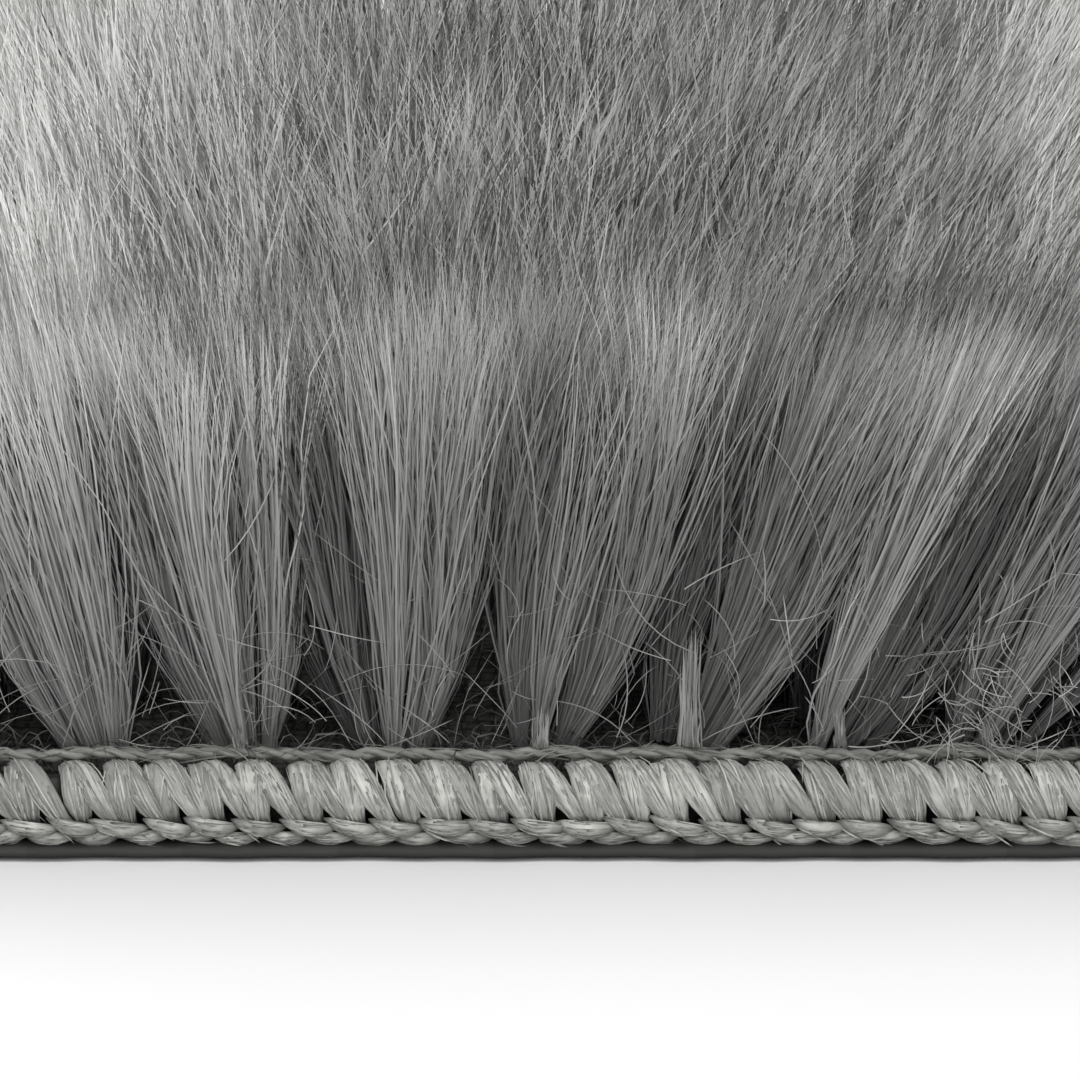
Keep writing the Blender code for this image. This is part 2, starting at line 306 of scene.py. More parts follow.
@dataclass(frozen=True)
class TuftPlan:
    """Where the tufts stand and how the pile was combed.

    Attributes:
        columns: Tufts side by side, along the front edge.
        rows: Rows of tufts, from front to back.
        half_x: Place of the outermost columns.
        half_y: Place of the front and back rows.
        foot: Level that the tufts stand at.
        length: Length of the pile along its fibres.
        lean_middle: Lean towards +X at the middle of the swing.
        lean_swing: How much further the pile leans at either side.
        lean_centre: Place of the middle of the swing.
        lean_reach: Distance over which the swing builds up.
        rim_splay: Lean outwards of the front and back rows.
    """

    columns: int = 13
    rows: int = 14
    half_x: float = 61.8 * MM
    half_y: float = 55.25 * MM
    foot: float = 4.8 * MM
    length: float = 32.4 * MM
    lean_middle: float = math.radians(5)
    lean_swing: float = math.radians(19)
    lean_centre: float = -4.0 * MM
    lean_reach: float = 18.0 * MM
    rim_splay: float = math.radians(5)

    def pitch(self) -> Pair:
        """The distances between columns and between rows."""
        return 2 * self.half_x / (self.columns - 1), 2 * self.half_y / (self.rows - 1)

    def stands(self, rows: range, columns: range | None = None) -> Array:
        """Finds the middles of the tufts' feet.

        Args:
            rows: The rows wanted, counted from the front.
            columns: The columns wanted, counted from the left, or None for all.

        Returns:
            Places on the ground, shape (T, 2).
        """
        x = np.linspace(-self.half_x, self.half_x, self.columns)
        y = np.linspace(-self.half_y, self.half_y, self.rows)
        picked = x if columns is None else x[list(columns)]
        grid = np.meshgrid(picked, y[list(rows)])
        return np.stack([grid[0].reshape(-1), grid[1].reshape(-1)], axis=1)

    def comb(self, upright: Array) -> Array:
        """Leans upright fibres the way the pile was combed.

        The lean in X is the middle lean plus the swing times the hyperbolic tangent of the
        distance from the centre over the reach. The lean in Y is the splay times the cube of
        the share of the way to the rim. A point moves along both leans by its height above
        the foot times their sines, and its height is multiplied by both cosines.

        Args:
            upright: Points of fibres that stand straight up, shape (..., 3).

        Returns:
            The points after combing, in the same shape.
        """
        x, y = upright[..., 0], upright[..., 1]
        height = upright[..., 2] - self.foot
        swing = np.tanh((x - self.lean_centre) / self.lean_reach)
        lean_x = self.lean_middle + self.lean_swing * swing
        lean_y = self.rim_splay * (y / self.half_y) ** 3
        return np.stack(
            [
                x + height * np.sin(lean_x),
                y + height * np.sin(lean_y),
                self.foot + height * np.cos(lean_x) * np.cos(lean_y),
            ],
            axis=-1,
        )


@dataclass(frozen=True)
class EdgePath:
    """The line that the edge is sewn along, anticlockwise from the middle of the front.

    Attributes:
        half_x: Half the length of the mat at its edge.
        half_y: Half the width of the mat at its edge.
        radius: Radius of the corners.
        stitches: Stitches round the whole edge.
    """

    half_x: float = 69.0 * MM
    half_y: float = 62.45 * MM
    radius: float = 6.5 * MM
    stitches: int = 161

    def ends(self) -> Array:
        """Runs at which the straights and corners end, starting with zero.

        Returns:
            The ten runs, from the middle of the front round to it again.
        """
        side_x, side_y = self.half_x - self.radius, self.half_y - self.radius
        corner = self.radius * math.pi / 2
        lengths = [0, side_x, corner, 2 * side_y, corner, 2 * side_x, corner]
        return np.cumsum([*lengths, 2 * side_y, corner, side_x])

    def length(self) -> float:
        """The length of the whole edge."""
        return float(self.ends()[-1])

    def pitch(self) -> float:
        """The length of one stitch."""
        return self.length() / self.stitches

    def place(self, run: Array, inset: Array, level: Array) -> Array:
        """Puts points beside the edge.

        The edge is a rectangle with rounded corners. Along it, the corner's centre moves on
        the straights and the outward direction turns on the corners. A point is that centre
        plus the outward direction times the corner's radius less the inset.

        Args:
            run: Distances along the edge.
            inset: Distances in from its outer face, less than zero outside it.
            level: Heights above the floor.

        Returns:
            The points, shape (..., 3).
        """
        side_x, side_y = self.half_x - self.radius, self.half_y - self.radius
        ends = self.ends()
        centre_x = side_x * np.array([0, 1, 1, 1, 1, -1, -1, -1, -1, 0])
        centre_y = side_y * np.array([-1, -1, -1, 1, 1, 1, 1, -1, -1, -1])
        heading = np.array([-1, -1, 0, 0, 1, 1, 2, 2, 3, 3]) * math.pi / 2
        run, inset, level = np.broadcast_arrays(run, inset, level)
        at = np.mod(run, ends[-1])
        turn = np.interp(at, ends, heading)
        reach = self.radius - inset
        return np.stack(
            [
                np.interp(at, ends, centre_x) + reach * np.cos(turn),
                np.interp(at, ends, centre_y) + reach * np.sin(turn),
                level,
            ],
            axis=-1,
        )

    def outward(self, run: Array) -> Array:
        """Directions straight out from the edge at distances along it, shape (..., 3)."""
        return (self.place(run, -MM, 0) - self.place(run, 0, 0)) / MM

    def stations(self, each: int) -> Array:
        """Distances evenly round the edge, so many to a stitch, as a column."""
        return np.linspace(0, self.length(), each * self.stitches, endpoint=False)[:, None]


def smooth_step(value: Array, low: float, high: float) -> Array:
    """Rises from 0 at low to 1 at high along the cubic that starts and ends level."""
    share = np.clip((value - low) / (high - low), 0, 1)
    return share * share * (3 - 2 * share)


def soft_waves(x: Array, y: Array, size: float, seed: int) -> Array:
    """A smooth, uneven field: the mean of six plane sine waves of about one size.

    Args:
        x: Places along the first axis.
        y: Places along the second axis.
        size: Typical wavelength.
        seed: Picks the waves' directions and phases.

    Returns:
        Values between -1 and 1, mostly within a half.
    """
    rng = np.random.default_rng(seed)
    turn, phase = rng.uniform(0, TURN, 6), rng.uniform(0, TURN, 6)
    rate = TURN / (size * rng.uniform(0.7, 1.6, 6))
    along = np.multiply.outer(x, np.cos(turn) * rate) + np.multiply.outer(y, np.sin(turn) * rate)
    return np.sin(along + phase).mean(axis=-1)


# ---------------------------------------------------------------- finishes


class NodeDesk:
    """Builds one material's node tree with short calls."""

    def __init__(self, name: str) -> None:
        """Makes a node material with a Principled shader.

        Args:
            name: The material's name.
        """
        self.material = bpy.data.materials.new(name)
        self.material.use_nodes = True
        self.tree = self.material.node_tree
        self.tree.nodes.clear()
        output = self.tree.nodes.new("ShaderNodeOutputMaterial")
        self.shader = self.tree.nodes.new("ShaderNodeBsdfPrincipled")
        self.feed(output.inputs["Surface"], self.shader.outputs["BSDF"])

    def feed(self, socket: Socket, value: object) -> None:
        """Joins an output to a socket, or sets the socket to a constant.

        Args:
            socket: The input.
            value: An output, or a constant.
        """
        if isinstance(value, Socket):
            self.tree.links.new(value, socket)
        else:
            socket.default_value = value

    def surface(self, **inputs: object) -> Material:
        """Feeds the shader's sockets.

        Args:
            inputs: Values or outputs for the shader's sockets, named with underscores.

        Returns:
            The material.
        """
        for key, value in inputs.items():
            self.feed(self.shader.inputs[key.replace("_", " ")], value)
        return self.material

    def node(
        self, kind: str, output: str, settings: dict | None = None, **inputs: object
    ) -> Socket:
        """Adds a node.

        Args:
            kind: The node's type, without its first words.
            output: The output wanted.
            settings: Its properties and their values.
            inputs: Values or outputs for its inputs, with spaces written as underscores.

        Returns:
            The output.
        """
        node = self.tree.nodes.new("ShaderNode" + kind)
        for key, value in (settings or {}).items():
            setattr(node, key, value)
        for key, value in inputs.items():
            self.feed(node.inputs[key.replace("_", " ")], value)
        return node.outputs[output]

    def math(self, operation: str, first: object, second: object = 0.0) -> Socket:
        """Adds a Math node.

        Args:
            operation: Its operation.
            first: Its first value or output.
            second: Its second one.

        Returns:
            The output.
        """
        node = self.tree.nodes.new("ShaderNodeMath")
        node.operation = operation
        self.feed(node.inputs[0], first)
        self.feed(node.inputs[1], second)
        return node.outputs[0]

    def range(
        self, value: Socket, low: float, high: float, start: float = 0.0, end: float = 1.0
    ) -> Socket:
        """Carries a value over from one range to another.

        Args:
            value: The output to carry over.
            low: What start becomes.
            high: What end becomes.
            start: Start of the first range.
            end: End of the first range.

        Returns:
            The output.
        """
        return self.node(
            "MapRange", "Result", Value=value, From_Min=start, From_Max=end, To_Min=low, To_Max=high
        )

    def ramp(self, factor: Socket, stops: list[tuple]) -> Socket:
        """Runs a value through a colour ramp.

        Args:
            factor: What drives it.
            stops: Pairs of position and linear colour.

        Returns:
            The colour output.
        """
        node = self.tree.nodes.new("ShaderNodeValToRGB")
        elements = node.color_ramp.elements
        while len(elements) < len(stops):
            elements.new(0.5)
        for element, (position, colour) in zip(elements, stops):
            element.position = position
            element.color = (*colour, 1.0)
        self.feed(node.inputs["Fac"], factor)
        return node.outputs["Color"]

    def product(self, colour: Socket, value: Socket) -> Socket:
        """Multiplies a colour by a value.

        Args:
            colour: The colour.
            value: What it is multiplied by.

        Returns:
            The output.
        """
        node = self.tree.nodes.new("ShaderNodeVectorMath")
        node.operation = "SCALE"
        self.feed(node.inputs[0], colour)
        self.feed(node.inputs["Scale"], value)
        return node.outputs["Vector"]


@dataclass(frozen=True)
class StrandFinish:
    """Fibre or yarn, coloured by its shade column and from root to tip.

    Attributes:
        name: Name of the material.
        root: Linear colour at the root.
        middle: Linear colour half way up.
        tip: Linear colour at the tip.
        contrast: How far the palest and darkest columns are from the middle one.
        tip_swing: How much more the columns differ at the tip than at the root.
        roughness: Mean roughness.
        specular: Specular level.
        sheen: Weight of the sheen.
        grain: Filaments across one strand, or zero for a single fibre.
        relief: Depth of the bump.
    """

    name: str
    root: Triple
    middle: Triple
    tip: Triple
    contrast: float = 0.3
    tip_swing: float = 0.0
    roughness: float = 0.5
    specular: float = 0.35
    sheen: float = 0.0
    grain: float = 0.0
    relief: float = 0.12 * MM

    def material(self) -> Material:
        """Builds the material.

        The map's height runs the colour from root to tip. The map's width is 16 columns, and
        the column's number runs the shade from dark to pale. Yarn has filaments: a noise
        stretched along the strand, seen in the colour, the gloss and the relief.

        Returns:
            The material.
        """
        desk = NodeDesk(self.name)
        mapped = desk.node("UVMap", "UV", {"uv_map": BAKE_MAP})
        split = desk.node("SeparateXYZ", "X", Vector=mapped).node.outputs
        scaled = desk.math("MULTIPLY", split["X"], float(SHADE_COLUMNS))
        column, across = desk.math("FLOOR", scaled), desk.math("FRACT", scaled)
        low = tuple(0.35 * root + 0.65 * middle for root, middle in zip(self.root, self.middle))
        stops = [(0.0, self.root), (0.22, low), (0.55, self.middle), (0.97, self.tip)]
        colour = desk.ramp(split["Y"], stops)
        swing = desk.range(column, -self.contrast, self.contrast, end=float(SHADE_COLUMNS - 1))
        reach = desk.range(split["Y"], 1 - self.tip_swing, 1 + self.tip_swing)
        shade = desk.math("ADD", 1.0, desk.math("MULTIPLY", swing, reach))
        desk.surface(Specular_IOR_Level=self.specular, Sheen_Weight=self.sheen, Sheen_Roughness=0.4)
        if not self.grain:
            return desk.surface(Base_Color=desk.product(colour, shade), Roughness=self.roughness)
        place = desk.node(
            "CombineXYZ", "Vector", X=desk.math("MULTIPLY", across, self.grain),
            Y=desk.math("MULTIPLY", split["Y"], 5.0), Z=desk.math("MULTIPLY", column, 3.7),
        )
        noise = desk.node("TexNoise", "Fac", Vector=place, Scale=1.0, Detail=2.0)
        spread = desk.range(noise, 0.72, 1.22, 0.3, 0.7)
        return desk.surface(
            Base_Color=desk.product(colour, desk.math("MULTIPLY", shade, spread)),
            Roughness=desk.range(noise, self.roughness + 0.1, self.roughness - 0.1),
            Normal=desk.node("Bump", "Normal", Strength=0.6, Distance=self.relief, Height=noise),
        )


@dataclass(frozen=True)
class GroundFinish:
    """Dark woven cloth, matt and hairy.

    Attributes:
        name: Name of the material.
        dark: Linear colour down between the threads.
        pale: Linear colour on the threads.
        thread: Distance from thread to thread.
        relief: Depth of the weave in the bump.
    """

    name: str = "hairy ground cloth"
    dark: Triple = (0.010, 0.010, 0.010)
    pale: Triple = (0.085, 0.085, 0.080)
    thread: float = 1.1 * MM
    relief: float = 0.3 * MM

    def material(self) -> Material:
        """Builds the material.

        A plain weave: one of two sine waves at right angles at every other crossing, picked
        by a checker, with fine fibres from a noise over it and patches from a broader one.

        Returns:
            The material.
        """
        desk = NodeDesk(self.name)
        place = desk.node("TexCoord", "Object")
        split = desk.node("SeparateXYZ", "X", Vector=place).node.outputs
        rate = math.pi / self.thread
        across, along = (
            desk.math("ABSOLUTE", desk.math("SINE", desk.math("MULTIPLY", split[axis], rate)))
            for axis in ("X", "Y")
        )
        over = desk.node("TexChecker", "Fac", Vector=place, Scale=1 / self.thread)
        under = desk.math("SUBTRACT", 1.0, over)
        across, along = desk.math("MULTIPLY", across, over), desk.math("MULTIPLY", along, under)
        weave = desk.math("ADD", across, along)
        hair = desk.node("TexNoise", "Fac", Vector=place, Scale=1400.0, Detail=4.0, Roughness=0.7)
        patch = desk.node("TexNoise", "Fac", Vector=place, Scale=160.0, Detail=2.0)
        height = desk.math("ADD", desk.math("MULTIPLY", weave, 0.6), desk.math("MULTIPLY", hair, 0.7))
        colour = desk.ramp(height, [(0.25, self.dark), (0.95, self.pale)])
        return desk.surface(
            Base_Color=desk.product(colour, desk.range(patch, 0.6, 1.4)),
            Roughness=desk.range(hair, 0.75, 0.98),
            Normal=desk.node("Bump", "Normal", Strength=0.8, Distance=self.relief, Height=height),
            Specular_IOR_Level=0.2,
        )


@dataclass(frozen=True)
class FloorFinish:
    """Plain white floor, matt, with the faintest unevenness.

    Attributes:
        name: Name of the material.
        colour: Its linear colour.
    """

    name: str = "white floor"
    colour: Triple = (0.60, 0.60, 0.60)

    def material(self) -> Material:
        """Builds the material: the colour times a broad noise that varies by two in a hundred.

        Returns:
            The material.
        """
        desk = NodeDesk(self.name)
        place = desk.node("TexCoord", "Object")
        noise = desk.node("TexNoise", "Fac", Vector=place, Scale=9.0, Detail=1.0)
        low = tuple(0.98 * part for part in self.colour)
        colour = desk.ramp(noise, [(0.3, low), (0.7, self.colour)])
        return desk.surface(Base_Color=colour, Roughness=0.75, Specular_IOR_Level=0.2)


# Painted shade and light: the ramp darkens the fibres' roots, for the shade deep in the pile, and
# lightens their tips, for the light that falls on them. The tip swing spreads the shade columns most at
# the tips, where the painted highlights of the lit locks show.
PILE_FINISH = StrandFinish(
    "silky grey fibre", root=(0.165, 0.165, 0.162), middle=(0.215, 0.215, 0.211),
    tip=(0.390, 0.390, 0.381), contrast=0.60, tip_swing=0.35, roughness=0.75, specular=0.0,
)
# Painted shade and highlight: wraps and filaments are given their lightest colour half way along, on
# the outer face, and dim colour at both ends, where they tuck in under the laid thread and under the
# foot.
BINDING_FINISH = StrandFinish(
    "pale binding yarn", root=(0.250, 0.250, 0.233), middle=(0.450, 0.450, 0.425),
    tip=(0.270, 0.270, 0.252), contrast=0.42, roughness=0.60, specular=0.25, sheen=0.15,
    grain=9.0,
)
# Painted shade and highlight: each loop is given its lightest colour at its middle and dim colour at
# both points, where it tucks under its neighbours.
CHAIN_FINISH = StrandFinish(
    "pale chain yarn", root=(0.110, 0.110, 0.102), middle=(0.430, 0.430, 0.404),
    tip=(0.130, 0.130, 0.121), contrast=0.30, roughness=0.7, specular=0.25, sheen=0.15,
    grain=7.0,
)
LAID_FINISH = StrandFinish(
    "grey laid thread", root=(0.210, 0.210, 0.195), middle=(0.260, 0.260, 0.240),
    tip=(0.230, 0.230, 0.215), contrast=0.22, roughness=0.75, specular=0.2, sheen=0.15,
    grain=6.0, relief=0.10 * MM,
)
FUZZ_FINISH = StrandFinish(
    "dark ground hair", root=(0.050, 0.050, 0.048), middle=(0.120, 0.120, 0.114),
    tip=(0.180, 0.180, 0.172), contrast=0.5, roughness=0.7, specular=0.2,
)
STRAY_FINISH = StrandFinish(
    "loose pale fibre", root=(0.450, 0.450, 0.432), middle=(0.360, 0.360, 0.347),
    tip=(0.270, 0.270, 0.262), contrast=0.35, roughness=0.5, specular=0.4,
)


# ---------------------------------------------------------------- loose fibres


class Draws:
    """Random numbers for a set of fibres, in columns that spread over their stations."""

    def __init__(self, seed: int, count: int, steps: int) -> None:
        """Starts the numbers.

        Args:
            seed: Where they start.
            count: Number of fibres.
            steps: Straight steps in each.
        """
        self.rng = np.random.default_rng(seed)
        self.count = count
        self.share = np.linspace(0, 1, steps + 1)[None, :]

    def even(self, low: float, high: float) -> Array:
        """A column of numbers, all as likely between two limits."""
        return self.rng.uniform(low, high, self.count)[:, None]

    def turn(self) -> Array:
        """A column of angles, all as likely."""
        return self.even(0, TURN)

    def bell(self, middle: float, spread: float | Array) -> Array:
        """A column of numbers on a bell curve."""
        return middle + spread * self.rng.normal(0, 1, self.count)[:, None]

    def some(self, share: float) -> Array:
        """A column that is true for a share of the fibres."""
        return (self.rng.random(self.count) < share)[:, None]

    def power(self, exponent: float) -> Array:
        """A column of numbers from 0 to 1, crowded towards 0."""
        return (self.rng.random(self.count) ** exponent)[:, None]

    def directions(self, spread: float, towards: Array | Triple) -> Array:
        """Directions on a bell curve round one, shape (N, 3)."""
        return self.rng.normal(0, spread, (self.count, 3)) + np.asarray(towards)

    def ribbons(
        self, lines: Array, facing: Array, half_width: float, thinnest: float, thickest: float,
        shades: tuple[int, int] = (0, SHADE_COLUMNS),
    ) -> Surface:
        """Makes fibres along lines, each with its own width and shade.

        Args:
            lines: Stations of each fibre's middle line, shape (N, S + 1, 3).
            facing: Direction that each fibre's flat side is turned to, shape (N, 3).
            half_width: Half the mean width.
            thinnest: Width of the thinnest, as a share of the mean.
            thickest: Width of the thickest, as a share of the mean.
            shades: The first shade column, and the one after the last.

        Returns:
            The fibres as one surface.
        """
        width = half_width * self.even(thinnest, thickest)
        return Surface.ribbons(lines, width, facing, self.rng.integers(*shades, self.count))


# ---------------------------------------------------------------- the pile


class Trim(Enum):
    """How finely one part of the pile is made: fibres, steps, half width and contrast."""

    FRONT = (1050, 6, 0.058 * MM, 1.0)
    NEAR = (640, 5, 0.072 * MM, 0.6)
    INNER = (255, 5, 0.120 * MM, 0.35)
    RIM = (400, 5, 0.094 * MM, 0.6)

    def __init__(self, fibres: int, steps: int, half_width: float, contrast: float) -> None:
        """Names the values.

        Args:
            fibres: Fibres in a tuft.
            steps: Straight steps in a fibre.
            half_width: Half a fibre's width at its widest.
            contrast: How much locks and wisps differ, against the front row's. Where they
            differ less, the pile is painted lighter, for the light on the tips of the far pile,
            and its fibres start higher up the map, with less painted shade at their roots.
        """
        self.fibres, self.steps, self.half_width = fibres, steps, half_width
        self.contrast, self.evenness = contrast, 1 - contrast
        # Painted light: the far rows gain shade columns, and their roots start higher up the map so
        # that they get less of the painted root shade.
        self.painted_far_light = 2.4 * self.evenness
        self.lowest = 0.9 * self.evenness


@dataclass
class Pile:
    """The tufts: each a fan of three locks, each lock a few wisps, each wisp many fibres.

    Attributes:
        plan: Where the tufts stand and how they lean.
        locks: Locks in a tuft, side by side.
        wisps: Wisps in a lock.
        foot_share: Width of a tuft's foot, as a share of its width when open.
        open_share: Share of the length over which a tuft opens to its full width.
        lock_spread: How unevenly locks stand, along the row and across it.
        set_back: How far the outer locks of the front and back rows are set back.
        lit_forward: How far a lock with a painted highlight stands forward for each shade column it
            gains.
        wisp_reach: How far wisps stand from their lock's middle, along the row.
        row_share: The same across the row, as a share of the rows' distance.
        fibre_spread: How far fibres stand from their wisp's middle, at the front and more
            inside the pile.
        flop: How far tips flop over, for a wisp and more for each fibre inside the pile.
        tall: Length of the longest fibres, as a share of the plan's length.
        uneven_height: How much tufts, locks, wisps and fibres differ in it.
        short: Share of the fibres that are short, and their least and greatest length.
        drift: How far wisps, fibres and loose fibres drift sideways, as shares of length.
        most_drift: The most that any fibre drifts.
        loose: Share of the fibres that are loose, and how much more at the front.
        drawn_in: How much fibres draw together in a wisp, and wisps in a lock.
        slow_wave: Height and rate of the waves that bend a wisp.
        quick_wave: Height, lowest and highest rate of the waves that bend a fibre.
        lock_size: Size of a lock for its shading, along the row and across it.
        uneven_shade: How many shade columns locks, wisps and fibres differ by.
        painted_glint: Share of the fibres that are given a painted highlight, and the shade columns
            they gain.
        painted_lock_shade: Painted shade in and between the locks: shade columns gained at a lock's
            middle, and lost beside it and behind it.
        least_painted_light_at: Place along the rows where the pile's painted side light is
            least, so that it is darkest.
        painted_light_span: Distances from there at which the painted side light starts to
            rise, and is strongest.
        shades: Shade column where the painted side light is least, columns gained where it is
            strongest, and columns that slow waves add.
        lit_locks: Places along the front row, in millimetres, where locks stand forward and
        are given a painted highlight, or stand back and are given painted shade, with the
        shade columns they gain.
        lit_reach: How far such a place reaches to either side.
        seed: Starts the random numbers.
    """

    plan: TuftPlan
    locks: int = 3
    wisps: int = 7
    foot_share: float = 0.50
    open_share: float = 0.42
    lock_spread: Pair = (0.35 * MM, 0.9 * MM)
    set_back: float = 1.4 * MM
    lit_forward: float = 0.30 * MM
    wisp_reach: float = 1.65 * MM
    row_share: float = 0.48
    fibre_spread: Pair = (0.34 * MM, 0.7 * MM)
    flop: Pair = (1.0 * MM, 3.6 * MM)
    tall: float = 1.08
    uneven_height: tuple[float, ...] = (0.018, 0.045, 0.03, 0.06)
    short: Triple = (0.10, 0.45, 0.95)
    drift: Triple = (0.022, 0.042, 0.12)
    most_drift: float = 0.20
    loose: Pair = (0.04, 0.05)
    drawn_in: Pair = (0.45, 0.42)
    slow_wave: Pair = (0.55 * MM, 3.0)
    quick_wave: Triple = (0.25 * MM, 5.0, 15.0)
    lock_size: Pair = (1.3 * MM, 2.6 * MM)
    uneven_shade: Triple = (1.6, 2.2, 0.5)
    painted_glint: Pair = (0.12, 2.5)
    painted_lock_shade: Triple = (1.2, 2.0, 3.0)
    least_painted_light_at: float = 3.5 * MM
    painted_light_span: Pair = (12 * MM, 42 * MM)
    shades: Triple = (4.0, 9.0, 0.9)
    lit_locks: tuple[Pair, ...] = (
        (-27.4, 3.0), (-22.5, 3.5), (-18.3, 3.0), (-14.0, -3.0), (-8.6, 4.5), (-3.6, -3.0),
        (4.4, 3.0), (9.4, -3.0), (15.3, 3.2), (20.6, -3.0), (26.0, 4.0),
    )
    lit_reach: float = 1.5 * MM
    seed: int = 11

    def fibres(self, stands: Array, trim: Trim, seed: int) -> Surface:
        """Makes the fibres of some tufts.

        A fibre's place across its tuft is its lock's middle plus its wisp's offset plus its
        own. The wisps fill an ellipse, and the outer locks of the front and back rows are
        set back, so that locks and tufts are round. At the foot that place is multiplied by
        the foot share, and it opens to the whole along an upside-down parabola of height.
        Towards the tips a wisp's fibres draw together. Slow sine waves that grow from the
        root bend each wisp, and quicker ones each fibre, and tips flop over by the cube of
        the height, each wisp's together and inside the pile each fibre's own way too. The
        upright fibres are then combed.

        Args:
            stands: Middles of the tufts' feet, shape (T, 2).
            trim: How finely they are made.
            seed: Added to the pile's own seed.

        Returns:
            All the fibres as ribbons.
        """
        rng = np.random.default_rng(self.seed + seed)
        contrast, even = trim.contrast, trim.evenness
        tuft = np.repeat(np.arange(len(stands)), trim.fibres)
        lock = tuft * self.locks + rng.integers(0, self.locks, tuft.size)
        wisp = lock * self.wisps + rng.integers(0, self.wisps, tuft.size)
        locks, pairs = len(stands) * self.locks, (tuft.size, 2)
        wisps = locks * self.wisps
        pitch_x, pitch_y = self.plan.pitch()

        side = np.arange(locks) % self.locks - (self.locks - 1) / 2
        lock_x = side * pitch_x / self.locks + rng.normal(0, self.lock_spread[0], locks)
        lock_y = rng.normal(0, self.lock_spread[1] * contrast, locks)
        rim = np.array([self.plan.half_x, self.plan.half_y])
        rim = np.sign(stands) * (np.abs(stands) > 0.98 * rim)
        lock_y = lock_y - self.set_back * np.repeat(rim[:, 1], self.locks) * (side != 0)
        lit = self.lit(lock_x + np.repeat(stands[:, 0], self.locks), stands[0, 1])
        middle = np.stack([lock_x, lock_y - self.lit_forward * lit], axis=1)[lock]
        far, turn = np.sqrt(rng.random(wisps)), rng.uniform(0, TURN, wisps)
        reach = np.array([self.wisp_reach, self.row_share * pitch_y])
        offset = (far * np.array([np.cos(turn), np.sin(turn)])).T[wisp] * reach
        offset = offset * (1 + even * np.array([0.4, 0.2]))
        own = rng.normal(0, self.fibre_spread[0] + self.fibre_spread[1] * even, pairs)
        flop = rng.normal(0, self.flop[0], (wisps, 2))[wisp] + rng.normal(0, self.flop[1] * even, pairs)
        of_tuft, of_lock, of_wisp, of_fibre = self.uneven_height
        tall = self.tall + rng.normal(0, of_tuft, len(stands))[tuft]
        tall = tall + rng.normal(0, of_lock * contrast, locks)[lock]
        tall = tall + rng.normal(0, of_wisp, wisps)[wisp] - np.abs(rng.normal(0, of_fibre, tuft.size))
        short = rng.random(tuft.size) < self.short[0]
        tall = np.where(short, tall * rng.uniform(*self.short[1:], tuft.size), tall)
        of_wisp, of_fibre, of_loose = self.drift
        drift = rng.normal(0, of_fibre, pairs) + rng.normal(0, of_wisp * contrast, (wisps, 2))[wisp]
        loose = rng.random(tuft.size) < self.loose[0] + self.loose[1] * contrast
        drift[loose] = rng.normal(0, of_loose, (int(loose.sum()), 2))
        drift = np.clip(drift, -self.most_drift, self.most_drift)

        share = (np.linspace(0, 1, trim.steps + 1) ** 0.85)[:, None]
        opened = 1 - (1 - np.clip(share / self.open_share, 0, 1)) ** 2
        fan = self.foot_share + (1 - self.foot_share) * opened
        drawn = 1 - self.drawn_in[0] * contrast * smooth_step(share, 0.35, 0.9)
        closed = 1 - self.drawn_in[1] * contrast * smooth_step(share, 0.3, 0.9)
        phase = rng.uniform(0, TURN, (wisps, 2))[wisp][:, None]
        size = rng.normal(0, self.slow_wave[0], (wisps, 2))[wisp][:, None]
        wave = size * np.sin(self.slow_wave[1] * share + phase) * share ** 1.4
        phase = rng.uniform(0, TURN, pairs)[:, None]
        size = rng.normal(0, self.quick_wave[0], pairs)[:, None]
        rate = rng.uniform(*self.quick_wave[1:], (tuft.size, 1, 1))
        wave = wave + size * np.sin(rate * share + phase) * np.sqrt(share)
        height = (self.plan.length * tall)[:, None, None] * share
        across = middle[:, None] + (offset[:, None] + own[:, None] * drawn) * closed
        across = fan * across + wave + flop[:, None] * share ** 3 + drift[:, None] * height
        across = across + stands[tuft][:, None]
        lines = self.plan.comb(np.concatenate([across, self.plan.foot + height], axis=2))
        shading, facing = self.shading(rng, trim, share, offset + own, lock_x[lock], rim[tuft])
        taper = 1 - 0.55 * smooth_step(share[:-1, 0], 0.5, 1.0)
        thick = trim.half_width * rng.uniform(0.7, 1.25, tuft.size)[:, None] * taper
        of_lock, of_wisp, of_fibre = self.uneven_shade
        uneven = rng.normal(0, of_lock, locks)[lock] + rng.normal(0, of_wisp, wisps)[wisp]
        # Painted highlight: some fibres gain shade columns, to glint as lit fibres do.
        painted_glint = self.painted_glint[1] * (rng.random(tuft.size) < self.painted_glint[0])
        # Painted shade: fibres beside and behind a lock's middle lose shade columns, for the shade in
        # and between locks.
        beside, behind = ((offset + own) / reach).T
        painted_lock_shade = self.painted_lock_shade[0] - self.painted_lock_shade[1] * beside ** 2 - self.painted_lock_shade[2] * behind
        tone = self.painted_side_light(stands[tuft, 0], stands[tuft, 1]) + lit[lock] + trim.painted_far_light
        tone = tone + (uneven + painted_glint + painted_lock_shade) * contrast + rng.normal(0, of_fibre, tuft.size)
        shade = np.clip(np.round(tone), 0, SHADE_COLUMNS - 1).astype(int)
        return Surface.ribbons(lines, thick, facing, shade, shading, trim.lowest)

